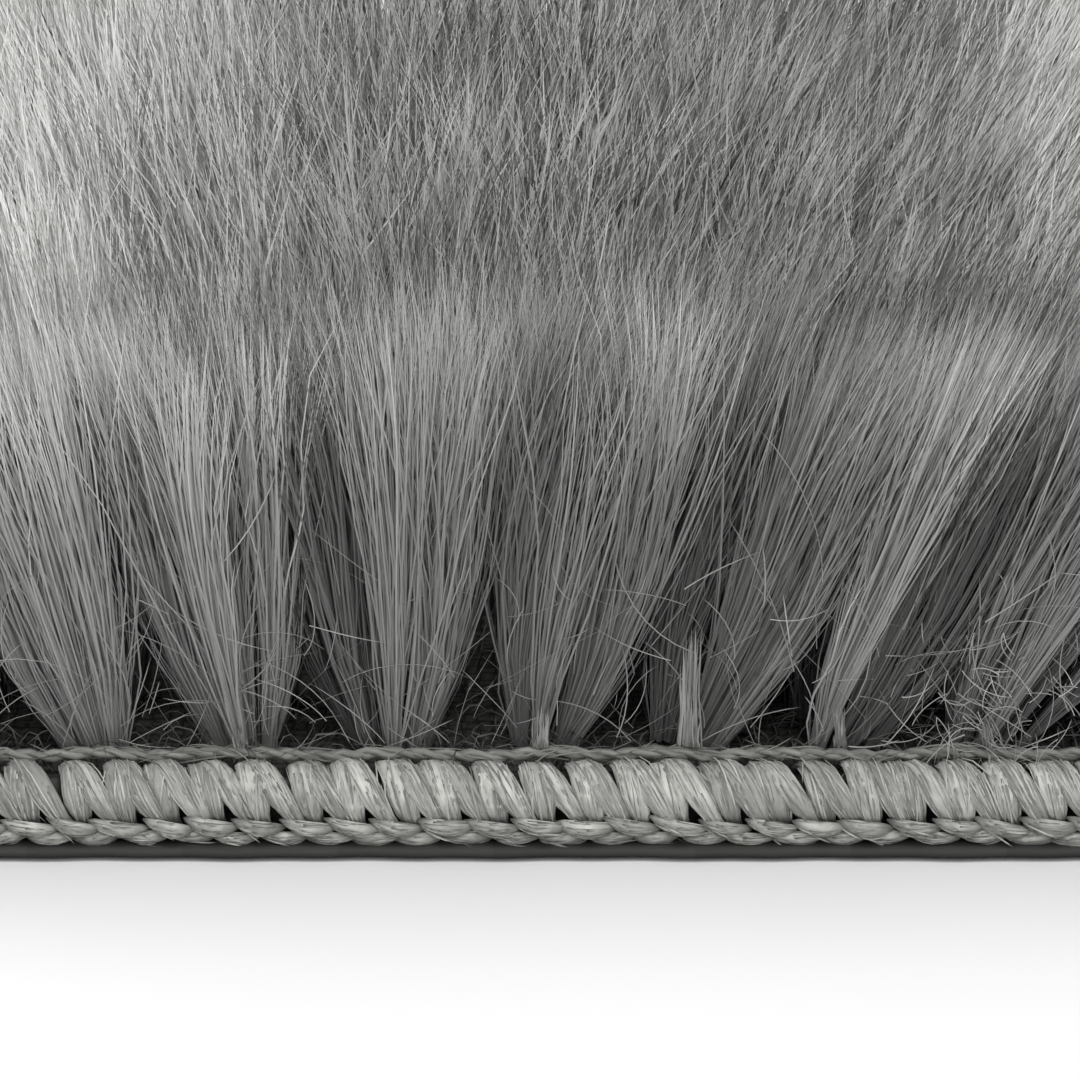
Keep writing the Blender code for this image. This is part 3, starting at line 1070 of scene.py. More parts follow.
    def shading(
        self, rng: np.random.Generator, trim: Trim, share: Array, spread: Array,
        lock_x: Array, rim: Array,
    ) -> tuple[Array, Array]:
        """Finds the normals that the fibres are shaded with, and the way that they face.

        A normal points away from its lock's middle line and from the middle of its tuft,
        outwards at the rim, and more upwards towards the tips. Each fibre's is a little off.

        Args:
            rng: Where random numbers come from.
            trim: How finely the fibres are made.
            share: Height of the stations, as shares of the length, shape (S + 1, 1).
            spread: Place of each fibre in its lock, shape (N, 2).
            lock_x: Place of its lock in its tuft, along the row, shape (N,).
            rim: Which way the rim is, where its tuft is at the rim, shape (N, 2).

        Returns:
            Normals, shape (N, S + 1, 3), and directions, shape (N, 3).
        """
        away = (1 - 0.45 * trim.evenness) * spread / np.array(self.lock_size) + 0.7 * rim
        away[:, 0] += 0.5 * lock_x / (3.4 * MM)
        up = 0.15 + 0.25 * share ** 2 + 0.1 * trim.evenness
        shape = (len(spread), len(share))
        normals = np.concatenate(
            [np.broadcast_to(away[:, None], (*shape, 2)), np.broadcast_to(up, (*shape, 1))], axis=2
        )
        normals = normals + rng.normal(0, 0.12, (len(spread), 1, 3))
        facing = normals[:, 0] + rng.normal(0, 0.3, (len(spread), 3))
        normals = normals + 0.3 * facing[:, None]
        return normals / np.linalg.norm(normals, axis=2, keepdims=True), facing

    def painted_side_light(self, x: Array, y: Array) -> Array:
        """The middle shade of the pile at a place, in shade columns.

        This is painted light, for the side light that the leaning fibres catch: the pile is
        given its darkest columns just right of the middle of the mat, rising smoothly to
        either side, with slow waves over it.

        Args:
            x: Places along the rows.
            y: Places from front to back.

        Returns:
            Shade columns, not yet whole numbers.
        """
        # Painted light: lighter shade columns towards the mat's sides, for the side light on the
        # leaning fibres.
        aside = smooth_step(np.abs(x - self.least_painted_light_at), *self.painted_light_span)
        darkest, gain, waves = self.shades
        return darkest + gain * aside + waves * soft_waves(x, y, 40 * MM, self.seed)

    def lit(self, x: Array, y: float) -> Array:
        """Shade columns that the locks at these places gain: bell curves at the lit locks.

        Args:
            x: Places of the locks.
            y: The row's place, since only the front row has lit locks.

        Returns:
            The gain of each lock.
        """
        if y > -0.98 * self.plan.half_y:
            return 0 * x
        # Painted highlight and painted shade: the listed front locks gain or lose shade columns.
        middles, gains = np.array(self.lit_locks).T
        return (np.exp(-((x[:, None] - middles * MM) / self.lit_reach) ** 2) * gains).sum(axis=1)

    def build(self) -> list[Piece]:
        """Makes the pile in six pieces, from the front row to the back.

        Returns:
            The pieces.
        """
        material = PILE_FINISH.material()
        rows, columns = self.plan.rows, self.plan.columns
        inner = range(1, columns - 1)
        sides = [0, columns - 1]
        parts = {
            "pile_front": [(range(1), None, Trim.FRONT)],
            "pile_near": [(range(1, 2), None, Trim.NEAR), (range(2, 3), None, Trim.RIM)],
            "pile_inner_front": [(range(3, 8), inner, Trim.INNER)],
            "pile_inner_back": [(range(8, rows - 1), inner, Trim.INNER)],
            "pile_sides": [(range(3, rows - 1), sides, Trim.RIM)],
            "pile_back": [(range(rows - 1, rows), None, Trim.RIM)],
        }
        pieces = []
        for number, (name, groups) in enumerate(parts.items()):
            surface = Surface.joined([
                self.fibres(self.plan.stands(*place), trim, 10 * number + turn)
                for turn, (*place, trim) in enumerate(groups)
            ])
            pieces.append(fitted(surface, name, material, "pile"))
        return pieces


# ---------------------------------------------------------------- the edge


def ellipse(corners: int) -> tuple[Array, Array]:
    """Cosines and sines of the corners round a strand."""
    turn = np.linspace(0, TURN, corners, endpoint=False)
    return np.cos(turn), np.sin(turn)


@dataclass
class Overcasting:
    """The binding yarn: two wraps to a stitch, over the lip of the cloth and down its face.

    Attributes:
        edge: The line that it is sewn along.
        profile: The wrap's middle line from its inner end to its foot, as inset and level.
        half_width: Half the width of a wrap.
        half_depth: Half its thickness.
        slants: Slant of a stitch's two wraps, as the run gained from top to foot.
        stand: How far the second wrap of a stitch stands out past the first.
        uneven: How much wraps differ in slant, in place and in how far they stand out.
        painted_end_shade: Painted shade, for the weaker light there: shade columns lost towards the
            left and the right end of the front.
        filaments: Loose filaments lying on each wrap.
        crossing: Share of the filaments that cross over their neighbours.
        seed: Starts the random numbers.
    """

    edge: EdgePath
    profile: tuple[Pair, ...] = (
        (4.1, 4.5), (3.5, 5.0), (2.7, 5.4), (1.8, 5.45), (1.0, 5.15), (0.4, 4.6), (0.12, 3.9),
        (0.10, 3.2), (0.4, 2.55), (0.95, 1.9), (1.2, 1.1), (2.2, 0.5), (3.8, 0.42),
    )
    half_width: float = 1.00 * MM
    half_depth: float = 0.34 * MM
    slants: Pair = (2.0 * MM, 5.2 * MM)
    stand: float = 0.10 * MM
    uneven: Triple = (0.42 * MM, 0.15 * MM, 0.07 * MM)
    painted_end_shade: Pair = (4.0, 1.5)
    filaments: int = 26
    crossing: float = 0.14
    seed: int = 31

    def middle_line(self, along: Array) -> tuple[Array, Array, Array, Array]:
        """Finds the wrap's middle line and the direction away from the cloth.

        The profile's points are joined and then smoothed by a bell-shaped window.

        Args:
            along: Shares of the way from the inner end to the foot.

        Returns:
            Inset, level, and the outward direction's parts along inset and level.
        """
        points = np.array(self.profile) * MM
        corners, fine = np.linspace(0, 1, len(points)), np.linspace(0, 1, 81)
        window = np.hanning(13)
        line = np.stack([
            np.convolve(np.pad(np.interp(fine, corners, values), 6, mode="edge"),
                        window / window.sum(), "valid")
            for values in points.T
        ], axis=1)
        slope = np.gradient(line, axis=0)
        slope /= np.linalg.norm(slope, axis=1, keepdims=True)
        inset, level, run_in, run_up = (
            np.interp(along, fine, values) for values in (*line.T, *slope.T)
        )
        return inset, level, run_up, -run_in

    def wraps(self) -> tuple[Array, Array, Array, Array]:
        """Chooses each wrap's start, slant, bulge and shade, with painted shade towards the front's
        ends.

        Returns:
            One array of each, all as long as the number of wraps.
        """
        rng = np.random.default_rng(self.seed)
        count = 2 * self.edge.stitches
        order = np.arange(count)
        slant = np.array(self.slants)[order % 2] + rng.normal(0, self.uneven[0], count)
        run = order * self.edge.pitch() / 2 - 0.5 * slant + rng.normal(0, self.uneven[1], count)
        bulge = self.stand * (order % 2) + rng.normal(0, self.uneven[2], count)
        x, y, _ = self.edge.place(run, 0, 0).T
        # Painted shade: wraps towards the ends of the front lose shade columns, for the weaker light
        # there.
        left, right = (smooth_step(side * x, 12 * MM, 34 * MM) for side in (-1, 1))
        painted_end_shade = (y < -0.9 * self.edge.half_y) * (self.painted_end_shade[0] * left + self.painted_end_shade[1] * right)
        shade = np.clip(np.round(rng.integers(3, 14, count) - painted_end_shade), 0, SHADE_COLUMNS - 1)
        return run, slant, bulge, shade.astype(int)

    def width_at(self, along: Array) -> Array:
        """Half width along a wrap: full over the lip, drawn in at the foot, full underneath."""
        foot = smooth_step(along, 0.46, 0.72) * (1 - smooth_step(along, 0.76, 0.95))
        return self.half_width * (1 - 0.42 * foot) * (0.6 + 0.4 * smooth_step(along, 0, 0.15))

    def strands(self) -> Surface:
        """Carries a flat ellipse along each wrap's middle line.

        Round the ellipse the run moves by the cosine times the half width, and the point
        moves away from the cloth by the sine times the half depth plus the wrap's bulge.

        Returns:
            The wraps.
        """
        run, slant, bulge, shade = self.wraps()
        along = np.linspace(0, 1, 14)[:, None]
        across, away = ellipse(8)
        inset, level, out_inset, out_level = self.middle_line(along)
        width = self.width_at(along)
        depth = self.half_depth * np.sqrt(np.clip(width / self.half_width, 0.2, 1))
        lift = depth * away + bulge[:, None, None]
        runs = run[:, None, None] + slant[:, None, None] * along + width * across
        rings = self.edge.place(runs, inset + out_inset * lift, level + out_level * lift)
        return Surface.tubes(rings, shade)

    def hairs(self) -> Surface:
        """Lays filaments over each wrap.

        A filament keeps a place across the wrap that drifts as it goes down, since the yarn
        is loosely twisted. It lies on the upper half of the ellipse, a little above it. The
        loose ones cross over their neighbours.

        Returns:
            The filaments.
        """
        run, slant, bulge = (np.repeat(values, self.filaments)[:, None] for values in self.wraps()[:3])
        draws = Draws(self.seed + 1, len(run), 4)
        start = draws.even(0.0, 0.45)
        end = start + draws.even(0.25, 0.5)
        along = start + (np.minimum(end, 1.0) - start) * draws.share
        place = draws.even(-1, 1) + draws.bell(0.35, 0.3) * (along - 0.5)
        place = place + 0.08 * np.sin(along * 9 + draws.even(0, 6.3))
        loose = draws.some(self.crossing)
        place = place + loose * draws.bell(0, 2.2) * (along - along[:, :1])
        place = np.clip(place, -1.12 - 1.5 * loose, 1.12 + 1.5 * loose)
        inset, level, out_inset, out_level = self.middle_line(along)
        above = self.half_depth * np.sqrt(np.clip(1 - place ** 2, 0, 1)) + bulge
        above = above + np.abs(draws.bell(0.03 * MM, 0.04 * MM + 0.12 * MM * loose))
        runs = run + slant * along + self.width_at(along) * place
        lines = self.edge.place(runs, inset + out_inset * above, level + out_level * above)
        inner, outer = (
            self.edge.place(runs, inset + lift * out_inset, level + lift * out_level)[:, 2]
            for lift in (0, MM)
        )
        facing = draws.directions(0.35, (outer - inner) / MM)
        return draws.ribbons(lines, facing, 0.055 * MM, 0.6, 1.3)

    def build(self) -> list[Piece]:
        """Makes the wraps and the filaments on them.

        Returns:
            The two pieces.
        """
        material = BINDING_FINISH.material()
        return [
            fitted(self.strands(), "binding_wraps", material, "overcasting"),
            fitted(self.hairs(), "binding_filaments", material, "overcasting"),
        ]


@dataclass
class EdgeChain:
    """The interlooped thread along the foot: two staggered rows of overlapping loops.

    Attributes:
        edge: The line that it is sewn along.
        loop_length: Length of a loop, from point to point.
        half_height: Half a loop's height at its middle.
        half_depth: Half its thickness.
        levels: Heights of the upper and the lower row.
        filaments: Filaments lying on each loop.
        seed: Starts the random numbers.
    """

    edge: EdgePath
    loop_length: float = 4.1 * MM
    half_height: float = 0.56 * MM
    half_depth: float = 0.45 * MM
    levels: Pair = (2.20 * MM, 1.42 * MM)
    filaments: int = 14
    seed: int = 51

    def loops(self) -> dict[str, Array]:
        """Chooses each loop's run, level, depth, length, tilt, size and shade.

        Returns:
            One array of each under its name.
        """
        rng = np.random.default_rng(self.seed)
        count = 2 * self.edge.stitches
        lower = np.arange(count) % 2
        return {
            "run": np.arange(count) * self.edge.pitch() / 2 + rng.normal(0, 0.10 * MM, count),
            "level": np.array(self.levels)[lower] + rng.normal(0, 0.06 * MM, count),
            "inset": np.where(lower, -0.12, -0.30) * MM + rng.normal(0, 0.05 * MM, count),
            "length": self.loop_length * rng.uniform(0.9, 1.08, count),
            "tilt": np.where(lower, -0.02, -0.16) + rng.normal(0, 0.05, count),
            "size": np.where(lower, 0.85, 1.0) * rng.uniform(0.9, 1.1, count),
            "shade": rng.integers(3, 13, count),
        }

    def swell(self, along: Array) -> Array:
        """A loop's thickness along it: the square root of a parabola, a spindle."""
        return np.sqrt(np.clip(1 - (2 * along - 1) ** 2, 0.02, 1))

    def middle(self, loops: dict[str, Array], along: Array) -> tuple[Array, Array, Array]:
        """Finds points of the loops' middle lines.

        Along a loop the run goes from one point to the other, the level falls or climbs by
        the tilt, and the inset bows outwards at the middle and back in at both points.

        Args:
            loops: The loops' sizes, each shaped to spread over along.
            along: Shares of the way along the loop.

        Returns:
            Run, inset and level.
        """
        off = (along - 0.5) * loops["length"]
        arch = (2 * along - 1) ** 2
        bow, sag = 0.45 * MM * arch, 0.16 * MM * (1 - arch)
        return loops["run"] + off, loops["inset"] + bow, loops["level"] + off * loops["tilt"] - sag

    def strands(self) -> Surface:
        """Carries an ellipse along each loop's middle line, swelling as a spindle does.

        Returns:
            The loops.
        """
        along = np.linspace(0, 1, 9)[:, None]
        out, up = ellipse(8)
        loops = {key: value[:, None, None] for key, value in self.loops().items()}
        run, inset, level = self.middle(loops, along)
        size = loops["size"] * self.swell(along)
        rings = self.edge.place(
            run, inset - self.half_depth * size * out, level + self.half_height * size * up
        )
        rings[..., 2] = np.maximum(rings[..., 2], 0.02 * MM)
        return Surface.tubes(rings, loops["shade"].reshape(-1))

    def hairs(self) -> Surface:
        """Lays filaments along the outer half of each loop, some standing off below.

        Returns:
            The filaments.
        """
        loops = {key: np.repeat(value, self.filaments)[:, None] for key, value in self.loops().items()}
        draws = Draws(self.seed + 1, len(loops["run"]), 4)
        start = draws.even(0.02, 0.5)
        end = np.minimum(start + draws.even(0.3, 0.6), 1.04)
        along = start + (end - start) * draws.share
        run, inset, level = self.middle(loops, along)
        turn = draws.even(-1.4, 1.4) + draws.bell(0.6, 0.3) * (along - 0.5)
        size = loops["size"] * self.swell(along) * draws.even(1.0, 1.12)
        stray = draws.some(0.10) * draws.share ** 2
        inset = inset - self.half_depth * size * np.cos(turn) - stray * 0.35 * MM
        level = level + self.half_height * size * np.sin(turn) - stray * draws.even(0, 0.5 * MM)
        lines = self.edge.place(run, inset, np.maximum(level, 0.03 * MM))
        facing = draws.directions(0.45, self.edge.outward(run[:, 0]))
        return draws.ribbons(lines, facing, 0.055 * MM, 0.6, 1.2)

    def build(self) -> list[Piece]:
        """Makes the loops and their filaments.

        Returns:
            The two pieces.
        """
        material = CHAIN_FINISH.material()
        return [
            fitted(self.strands(), "chain_loops", material, "chain"),
            fitted(self.hairs(), "chain_filaments", material, "chain"),
        ]


@dataclass
class LaidThread:
    """The thin two-ply thread laid along the inner side of the binding.

    Attributes:
        edge: The line that it follows.
        inset: How far in from the outer face it lies.
        level: Its height.
        wander: How far it strays to either side, and up and down.
        ply_radius: Radius of one ply.
        twist: Length of one turn of the plies.
        filaments: Loose filaments along it.
        seed: Starts the random numbers.
    """

    edge: EdgePath
    inset: float = 3.35 * MM
    level: float = 6.0 * MM
    wander: Pair = (0.22 * MM, 0.13 * MM)
    ply_radius: float = 0.27 * MM
    twist: float = 3.6 * MM
    filaments: int = 1500
    seed: int = 71

    def path(self, run: Array) -> tuple[Array, Array]:
        """Inset and level of the thread's middle line: sums of whole waves round the edge.

        Args:
            run: Distances along the edge.

        Returns:
            Inset and level.
        """
        turns = TURN * run / self.edge.length()
        aside = 0.6 * np.sin(41 * turns) + 0.5 * np.sin(67 * turns + 1.3)
        aside = aside + 0.5 * np.sin(18 * turns + 0.4)
        rise = 0.6 * np.sin(53 * turns + 2.0) + 0.4 * np.sin(80 * turns)
        return self.inset + self.wander[0] * aside, self.level + self.wander[1] * rise

    def plies(self) -> Surface:
        """Winds two plies round the middle line as a double helix, each closed on itself.

        Returns:
            Both plies.
        """
        run = self.edge.stations(4)
        turns = round(self.edge.length() / self.twist)
        inset, level = self.path(run)
        out, up = ellipse(6)
        parts = []
        for ply in range(2):
            angle = TURN * turns * run / self.edge.length() + ply * math.pi
            rings = self.edge.place(
                run, inset + self.ply_radius * (0.8 * np.cos(angle) + out),
                level + self.ply_radius * (0.8 * np.sin(angle) + up),
            )
            parts.append(Surface.hoop(rings, 6 + 3 * ply))
        return Surface.joined(parts)

    def hairs(self) -> Surface:
        """Loose filaments that wind along the thread and leave it at their tips.

        Returns:
            The filaments.
        """
        draws = Draws(self.seed, self.filaments, 4)
        start = draws.even(0, self.edge.length())
        reach = draws.even(1.5 * MM, 4.5 * MM) * draws.rng.choice([-1, 1], draws.count)[:, None]
        run = start + reach * draws.share
        inset, level = self.path(run)
        angle = draws.turn() + 1.6 * draws.share
        off = 0.42 * MM + np.abs(draws.bell(0, 0.5 * MM)) * draws.share ** 2
        lines = self.edge.place(run, inset + off * np.cos(angle), level + off * np.sin(angle))
        return draws.ribbons(lines, draws.directions(1, UP), 0.05 * MM, 0.6, 1.2)

    def build(self) -> list[Piece]:
        """Makes the thread with its loose filaments."""
        surface = Surface.joined([self.plies(), self.hairs()])
        return [fitted(surface, "laid_thread", LAID_FINISH.material(), "overcasting")]


# ---------------------------------------------------------------- ground, stubs and strays


@dataclass
class GroundCloth:
    """The woven cloth that the tufts stand in, with its dark hairs, and a dark band under the chain
    that stands in for the shadow there.

    Attributes:
        edge: The line of the mat's edge.
        plan: Where the tufts stand.
        inset: How far the cloth's edge is inside the binding's outer face.
        top: Level of its upper side.
        bottom: Level of its underside.
        grid: Points along the cloth and across it.
        hairs: Dark hairs on the ground between the rim's tufts.
        fringe_hairs: Hairs below the binding, to a stitch.
        shadow_band_inset: How far in the middle of the dark band under the chain lies.
        shadow_band_depth: Half the band's width.
        shadow_band_height: Half its thickness.
        seed: Starts the random numbers.
    """

    edge: EdgePath
    plan: TuftPlan
    inset: float = 2.3 * MM
    top: float = 4.4 * MM
    bottom: float = 0.12 * MM
    grid: tuple[int, int] = (85, 77)
    hairs: int = 4000
    fringe_hairs: int = 6
    shadow_band_inset: float = 0.15 * MM
    shadow_band_depth: float = 1.50 * MM
    shadow_band_height: float = 0.42 * MM
    seed: int = 91

    def outline(self, u: Array, v: Array) -> tuple[Array, Array]:
        """Spreads a square grid over the cloth's rounded rectangle.

        In the square at each corner, the offset from the corner's centre is shortened to its
        longer part, so that the square's outer edge falls on the arc.

        Args:
            u: Grid places from -1 to 1 along the length.
            v: Grid places from -1 to 1 along the width.

        Returns:
            The places in X and Y.
        """
        radius = self.edge.radius - self.inset
        reaches = (self.edge.half_x - self.inset, self.edge.half_y - self.inset)
        over_x, over_y = (
            np.clip(np.abs(part * reach) - (reach - radius), 0, None) / radius
            for part, reach in zip((u, v), reaches)
        )
        longer = np.maximum(over_x, over_y)
        shorten = np.where(longer > 0, longer / np.maximum(np.hypot(over_x, over_y), 1e-9), 1)
        x, y = (
            np.sign(part) * (np.minimum(np.abs(part * reach), reach - radius) + radius * over * shorten)
            for part, reach, over in zip((u, v), reaches, (over_x, over_y))
        )
        return x, y

    def surface(self) -> Surface:
        """Makes the cloth as one closed shell.

        The upper side is the top level plus slow waves, and a cosine of each pitch that is
        highest at the tufts. The underside is the bottom level plus a sine wave along the
        rows times one across them. The border joins the two.

        Returns:
            The shell, without a map.
        """
        u, v = np.meshgrid(*(np.linspace(-1, 1, points) for points in self.grid), indexing="ij")
        x, y = self.outline(u, v)
        pitch_x, pitch_y = self.plan.pitch()
        stand = np.cos(TURN * x / pitch_x)
        stand = stand + np.cos(TURN * (y - self.plan.half_y) / pitch_y)
        upper = self.top + 0.35 * MM * soft_waves(x, y, 7 * MM, self.seed) + 0.10 * MM * stand
        ridges = np.sin(6 * math.pi * y / pitch_y) * np.sin(math.pi * x / (1.6 * MM))
        lower = self.bottom + 0.10 * MM * ridges
        points = np.stack([np.stack([x, y, level], axis=2) for level in (upper, lower)])
        index = np.arange(x.size).reshape(x.shape)
        rim = np.concatenate([index[:-1, 0], index[-1, :-1], index[:0:-1, -1], index[0, :0:-1]])
        after = np.roll(rim, -1)
        walls = np.stack([rim + x.size, after + x.size, after, rim], axis=1)
        tops = grid_quads(index)
        quads = np.concatenate([tops, tops[:, ::-1] + x.size, walls])
        return Surface(points.reshape(-1, 3), quads.reshape(-1), np.full(len(quads), 4))

    def hair(self) -> Surface:
        """Lays dark hairs on the ground between the rim's tufts: low arcs, turned any way.

        A hair runs level in its own direction, and its height over the cloth is a parabola.

        Returns:
            The hairs.
        """
        draws = Draws(self.seed + 1, self.hairs, 4)
        run = draws.even(0, self.edge.length())
        foot = self.edge.place(run, 3.8 * MM + 11 * MM * draws.power(1.6), self.top - 0.05 * MM)
        turn, reach = draws.turn(), draws.even(1.0 * MM, 4.5 * MM) * draws.share
        turn = turn + draws.bell(0, 0.9) * draws.share
        lift = draws.even(0.3 * MM, 1.8 * MM) * 4 * draws.share * (1.15 - draws.share)
        lines = foot + np.stack([reach * np.cos(turn), reach * np.sin(turn), lift], axis=2)
        return draws.ribbons(lines, draws.directions(1, ANY), 0.055 * MM, 0.6, 1.3)

    def fringe(self) -> Surface:
        """Lets dark hairs of the cloth stand out below the binding.

        A hair starts behind the chain, runs outwards with a drift along the edge, and sags
        to the floor as the square of the distance.

        Returns:
            The hairs.
        """
        draws = Draws(self.seed + 2, self.fringe_hairs * self.edge.stitches, 3)
        run = draws.even(0, self.edge.length()) + draws.bell(0, 1.2 * MM) * draws.share
        inset = 1.5 * MM - draws.even(1.4 * MM, 3.0 * MM) * draws.share
        level = draws.even(0.55 * MM, 1.00 * MM) * (1 - 0.6 * draws.share ** 2)
        lines = self.edge.place(run, inset, level)
        return draws.ribbons(lines, draws.directions(0.5, UP), 0.075 * MM, 0.6, 1.3, (0, 6))

    def shadow_band(self) -> Surface:
        """Makes a low dark band round the mat under the chain, a dark sheet that stands in for the
        contact shadow there.

        Its section is an ellipse, and slow sine waves move its outer side in and out.

        Returns:
            The band.
        """
        run = self.edge.stations(3)
        turns = TURN * run / self.edge.length()
        wander = 0.06 * MM * (np.sin(31 * turns) + np.sin(83 * turns + 1.0))
        out, up = ellipse(8)
        inset = self.shadow_band_inset + wander + self.shadow_band_depth * out
        rings = self.edge.place(run, inset, self.shadow_band_height * (1.06 + up))
        # Painted shade: the band takes the darkest part of the dark hair's map, as a contact shadow.
        return Surface.hoop(rings, 2, (0.0, 0.05))

    def build(self) -> list[Piece]:
        """Makes the cloth, and its hairs with the dark band that stands in for the shadow under the
        chain.

        Returns:
            The cloth, and then the piece of hairs.
        """
        cloth, hairs = self.surface(), Surface.joined([self.hair(), self.fringe(), self.shadow_band()])
        return [
            fitted(cloth, "ground_cloth", GroundFinish().material(), "backing"),
            fitted(hairs, "ground_hairs", FUZZ_FINISH.material(), "backing"),
        ]


@dataclass(frozen=True)
class Stub:
    """A short pale end of yarn that stands up in front of a tuft.

    Attributes:
        run: Its place along the edge.
        height: Its height.
        width: Its width at the foot.
    """

    run: float
    height: float
    width: float = 1.25 * MM


@dataclass
class LooseEnds:
    """What has come away: stubs of yarn, stray fibres across the tufts, and curled lint.

    Attributes:
        edge: The line of the mat's edge.
        plan: Where the tufts stand.
        stubs: The stubs along the front.
        stub_fibres: Fibres in a stub.
        strays: Stray fibres round the whole rim.
        lint: Curled fibres at the right of the front.
        seed: Starts the random numbers.
    """

    edge: EdgePath
    plan: TuftPlan
    stubs: tuple[Stub, ...] = (
        Stub(-20.6 * MM, 2.6 * MM), Stub(-0.1 * MM, 4.2 * MM, 1.5 * MM),
        Stub(10.3 * MM, 10.0 * MM, 1.6 * MM), Stub(20.8 * MM, 4.4 * MM, 1.0 * MM),
        Stub(31.2 * MM, 3.0 * MM, 0.9 * MM),
    )
    stub_fibres: int = 60
    strays: int = 2200
    lint: int = 90
    seed: int = 113

    def more_stubs(self) -> list[Stub]:
        """The front's stubs, and others at the same pitch along the other three edges.

        Returns:
            All the stubs.
        """
        rng = np.random.default_rng(self.seed)
        runs = np.arange(70 * MM, self.edge.length() - 60 * MM, self.plan.pitch()[0])
        picked = runs[rng.random(len(runs)) < 0.4]
        heights = rng.uniform(2 * MM, 6 * MM, len(picked))
        return [*self.stubs, *(Stub(float(run), float(height)) for run, height in zip(picked, heights))]

    def stub_ends(self) -> Surface:
        """Makes each stub from fibres of uneven length that rise together.

        They lean out over the binding and are drawn in half way up, and each stub sways to
        one side.

        Returns:
            The fibres of all the stubs.
        """
        stubs = self.more_stubs()
        draws = Draws(self.seed + 1, len(stubs) * self.stub_fibres, 4)
        share = draws.share
        run, height, width = np.repeat(
            [(stub.run, stub.height, stub.width) for stub in stubs], self.stub_fibres, axis=0
        ).T[..., None]
        height = height * draws.even(0.35, 1.25)
        side, depth = np.clip(draws.bell(0, 0.45), -1, 1), draws.even(-1, 1)
        fan = 1.15 - 0.45 * smooth_step(share, 0.0, 0.6) + 0.15 * smooth_step(share, 0.6, 1.0)
        sway = 0.10 * draws.rng.normal(0, 1, len(stubs)).repeat(self.stub_fibres)[:, None] * share
        rough = 0.06 * MM * draws.rng.normal(0, 1, (draws.count, share.size)) * share
        lines = self.edge.place(
            run + side * width / 2 * fan + height * sway + rough,
            4.5 * MM + 0.35 * MM * depth * fan - (0.5 * MM + 0.40 * height) * share,
            5.0 * MM + height * share,
        )
        facing = draws.directions(0.4, self.edge.outward(run[:, 0]))
        return draws.ribbons(lines, facing, 0.065 * MM, 0.7, 1.3, (5, SHADE_COLUMNS))

    def stray_fibres(self) -> Surface:
        """Sets stray fibres in front of the rim's tufts.

        Each starts near a foot or part of the way up, and follows a circular arc in the
        plane that faces outwards. Its bend and its start are random, and most are short.

        Returns:
            The fibres.
        """
        draws = Draws(self.seed + 2, self.strays, 7)
        run, start = draws.even(0, self.edge.length()), 13 * MM * draws.power(1.8)
        reach = draws.even(2.5 * MM, 8 * MM) * np.where(draws.some(0.12), 1.7, 1)
        turn = draws.bell(math.pi / 2 - 0.1, 0.6) + draws.bell(0, 0.8) * draws.share
        steps = draws.share.size - 1
        along, up = (np.cumsum(part, axis=1) / steps * reach for part in (np.cos(turn), np.sin(turn)))
        out = draws.even(0.2 * MM, 2.0 * MM) * np.sin(draws.share * 2.4 + draws.even(0, 0.6))
        lines = self.edge.place(
            run + along, 4.4 * MM - out - 0.12 * start, 5.4 * MM + start + np.maximum(up, -0.8 * start)
        )
        facing = draws.directions(1, ANY)
        width = 0.030 * MM * draws.even(0.7, 1.4)
        shade = np.clip(draws.bell(4, 4)[:, 0], 0, SHADE_COLUMNS - 1).astype(int)
        return Surface.ribbons(lines, width, facing, shade)

    def lint_curls(self) -> Surface:
        """Curls fibres into a loose nest: each an arc of a small circle, tilted any way.

        Returns:
            The fibres.
        """
        draws = Draws(self.seed + 3, self.lint, 10)
        middle = np.stack([
            draws.bell(31.5 * MM, 3.2 * MM), draws.even(-60.4 * MM, -58.4 * MM),
            draws.even(5.5 * MM, 14.5 * MM),
        ], axis=2)
        radius, phase = draws.even(1.6 * MM, 7.0 * MM), draws.turn()
        angle = phase + draws.even(0.6, 1.5) * 3.0 * MM / radius * draws.share
        normal = draws.directions(0.5, (0, -1, 0))
        normal /= np.linalg.norm(normal, axis=1, keepdims=True)
        first = np.cross(normal, draws.directions(1, ANY))
        first /= np.linalg.norm(first, axis=1, keepdims=True)
        second = np.cross(normal, first)
        arcs = (
            (radius * np.cos(angle))[..., None] * first[:, None]
            + (radius * np.sin(angle))[..., None] * second[:, None]
        )
        lines = middle + arcs - arcs.mean(axis=1, keepdims=True)
        return draws.ribbons(lines, normal + 0.1, 0.032 * MM, 0.7, 1.3, (3, 12))

    def build(self) -> list[Piece]:
        """Makes the stubs, the strays and the lint, which stand for no solid of their own.

        Returns:
            The three pieces.
        """
        material = STRAY_FINISH.material()
        return [
            fitted(self.stub_ends(), "yarn_stubs", material),
            fitted(self.stray_fibres(), "stray_fibres", material),
            fitted(self.lint_curls(), "curled_lint", material),
        ]


# ---------------------------------------------------------------- the studio


@dataclass(frozen=True)
class SoftLight:
    """A large soft area light.

    Attributes:
        name: Its name.
        place: Where it hangs.
        aim: The point that it faces.
        size: Its width and height.
        power: Its power in watts.
    """

    name: str
    place: Triple
    aim: Triple
    size: Pair
    power: float

    def build(self) -> None:
        """Hangs the light and turns it to its aim."""
        data = bpy.data.lights.new(self.name, "AREA")
        data.shape = "RECTANGLE"
        data.size, data.size_y = self.size
        data.energy = self.power
        light = bpy.data.objects.new(self.name, data)
        light.location = self.place
        light.visible_camera = False
        sight = Vector(self.aim) - Vector(self.place)
        light.rotation_euler = sight.to_track_quat("-Z", "Y").to_euler()
        bpy.context.scene.collection.objects.link(light)


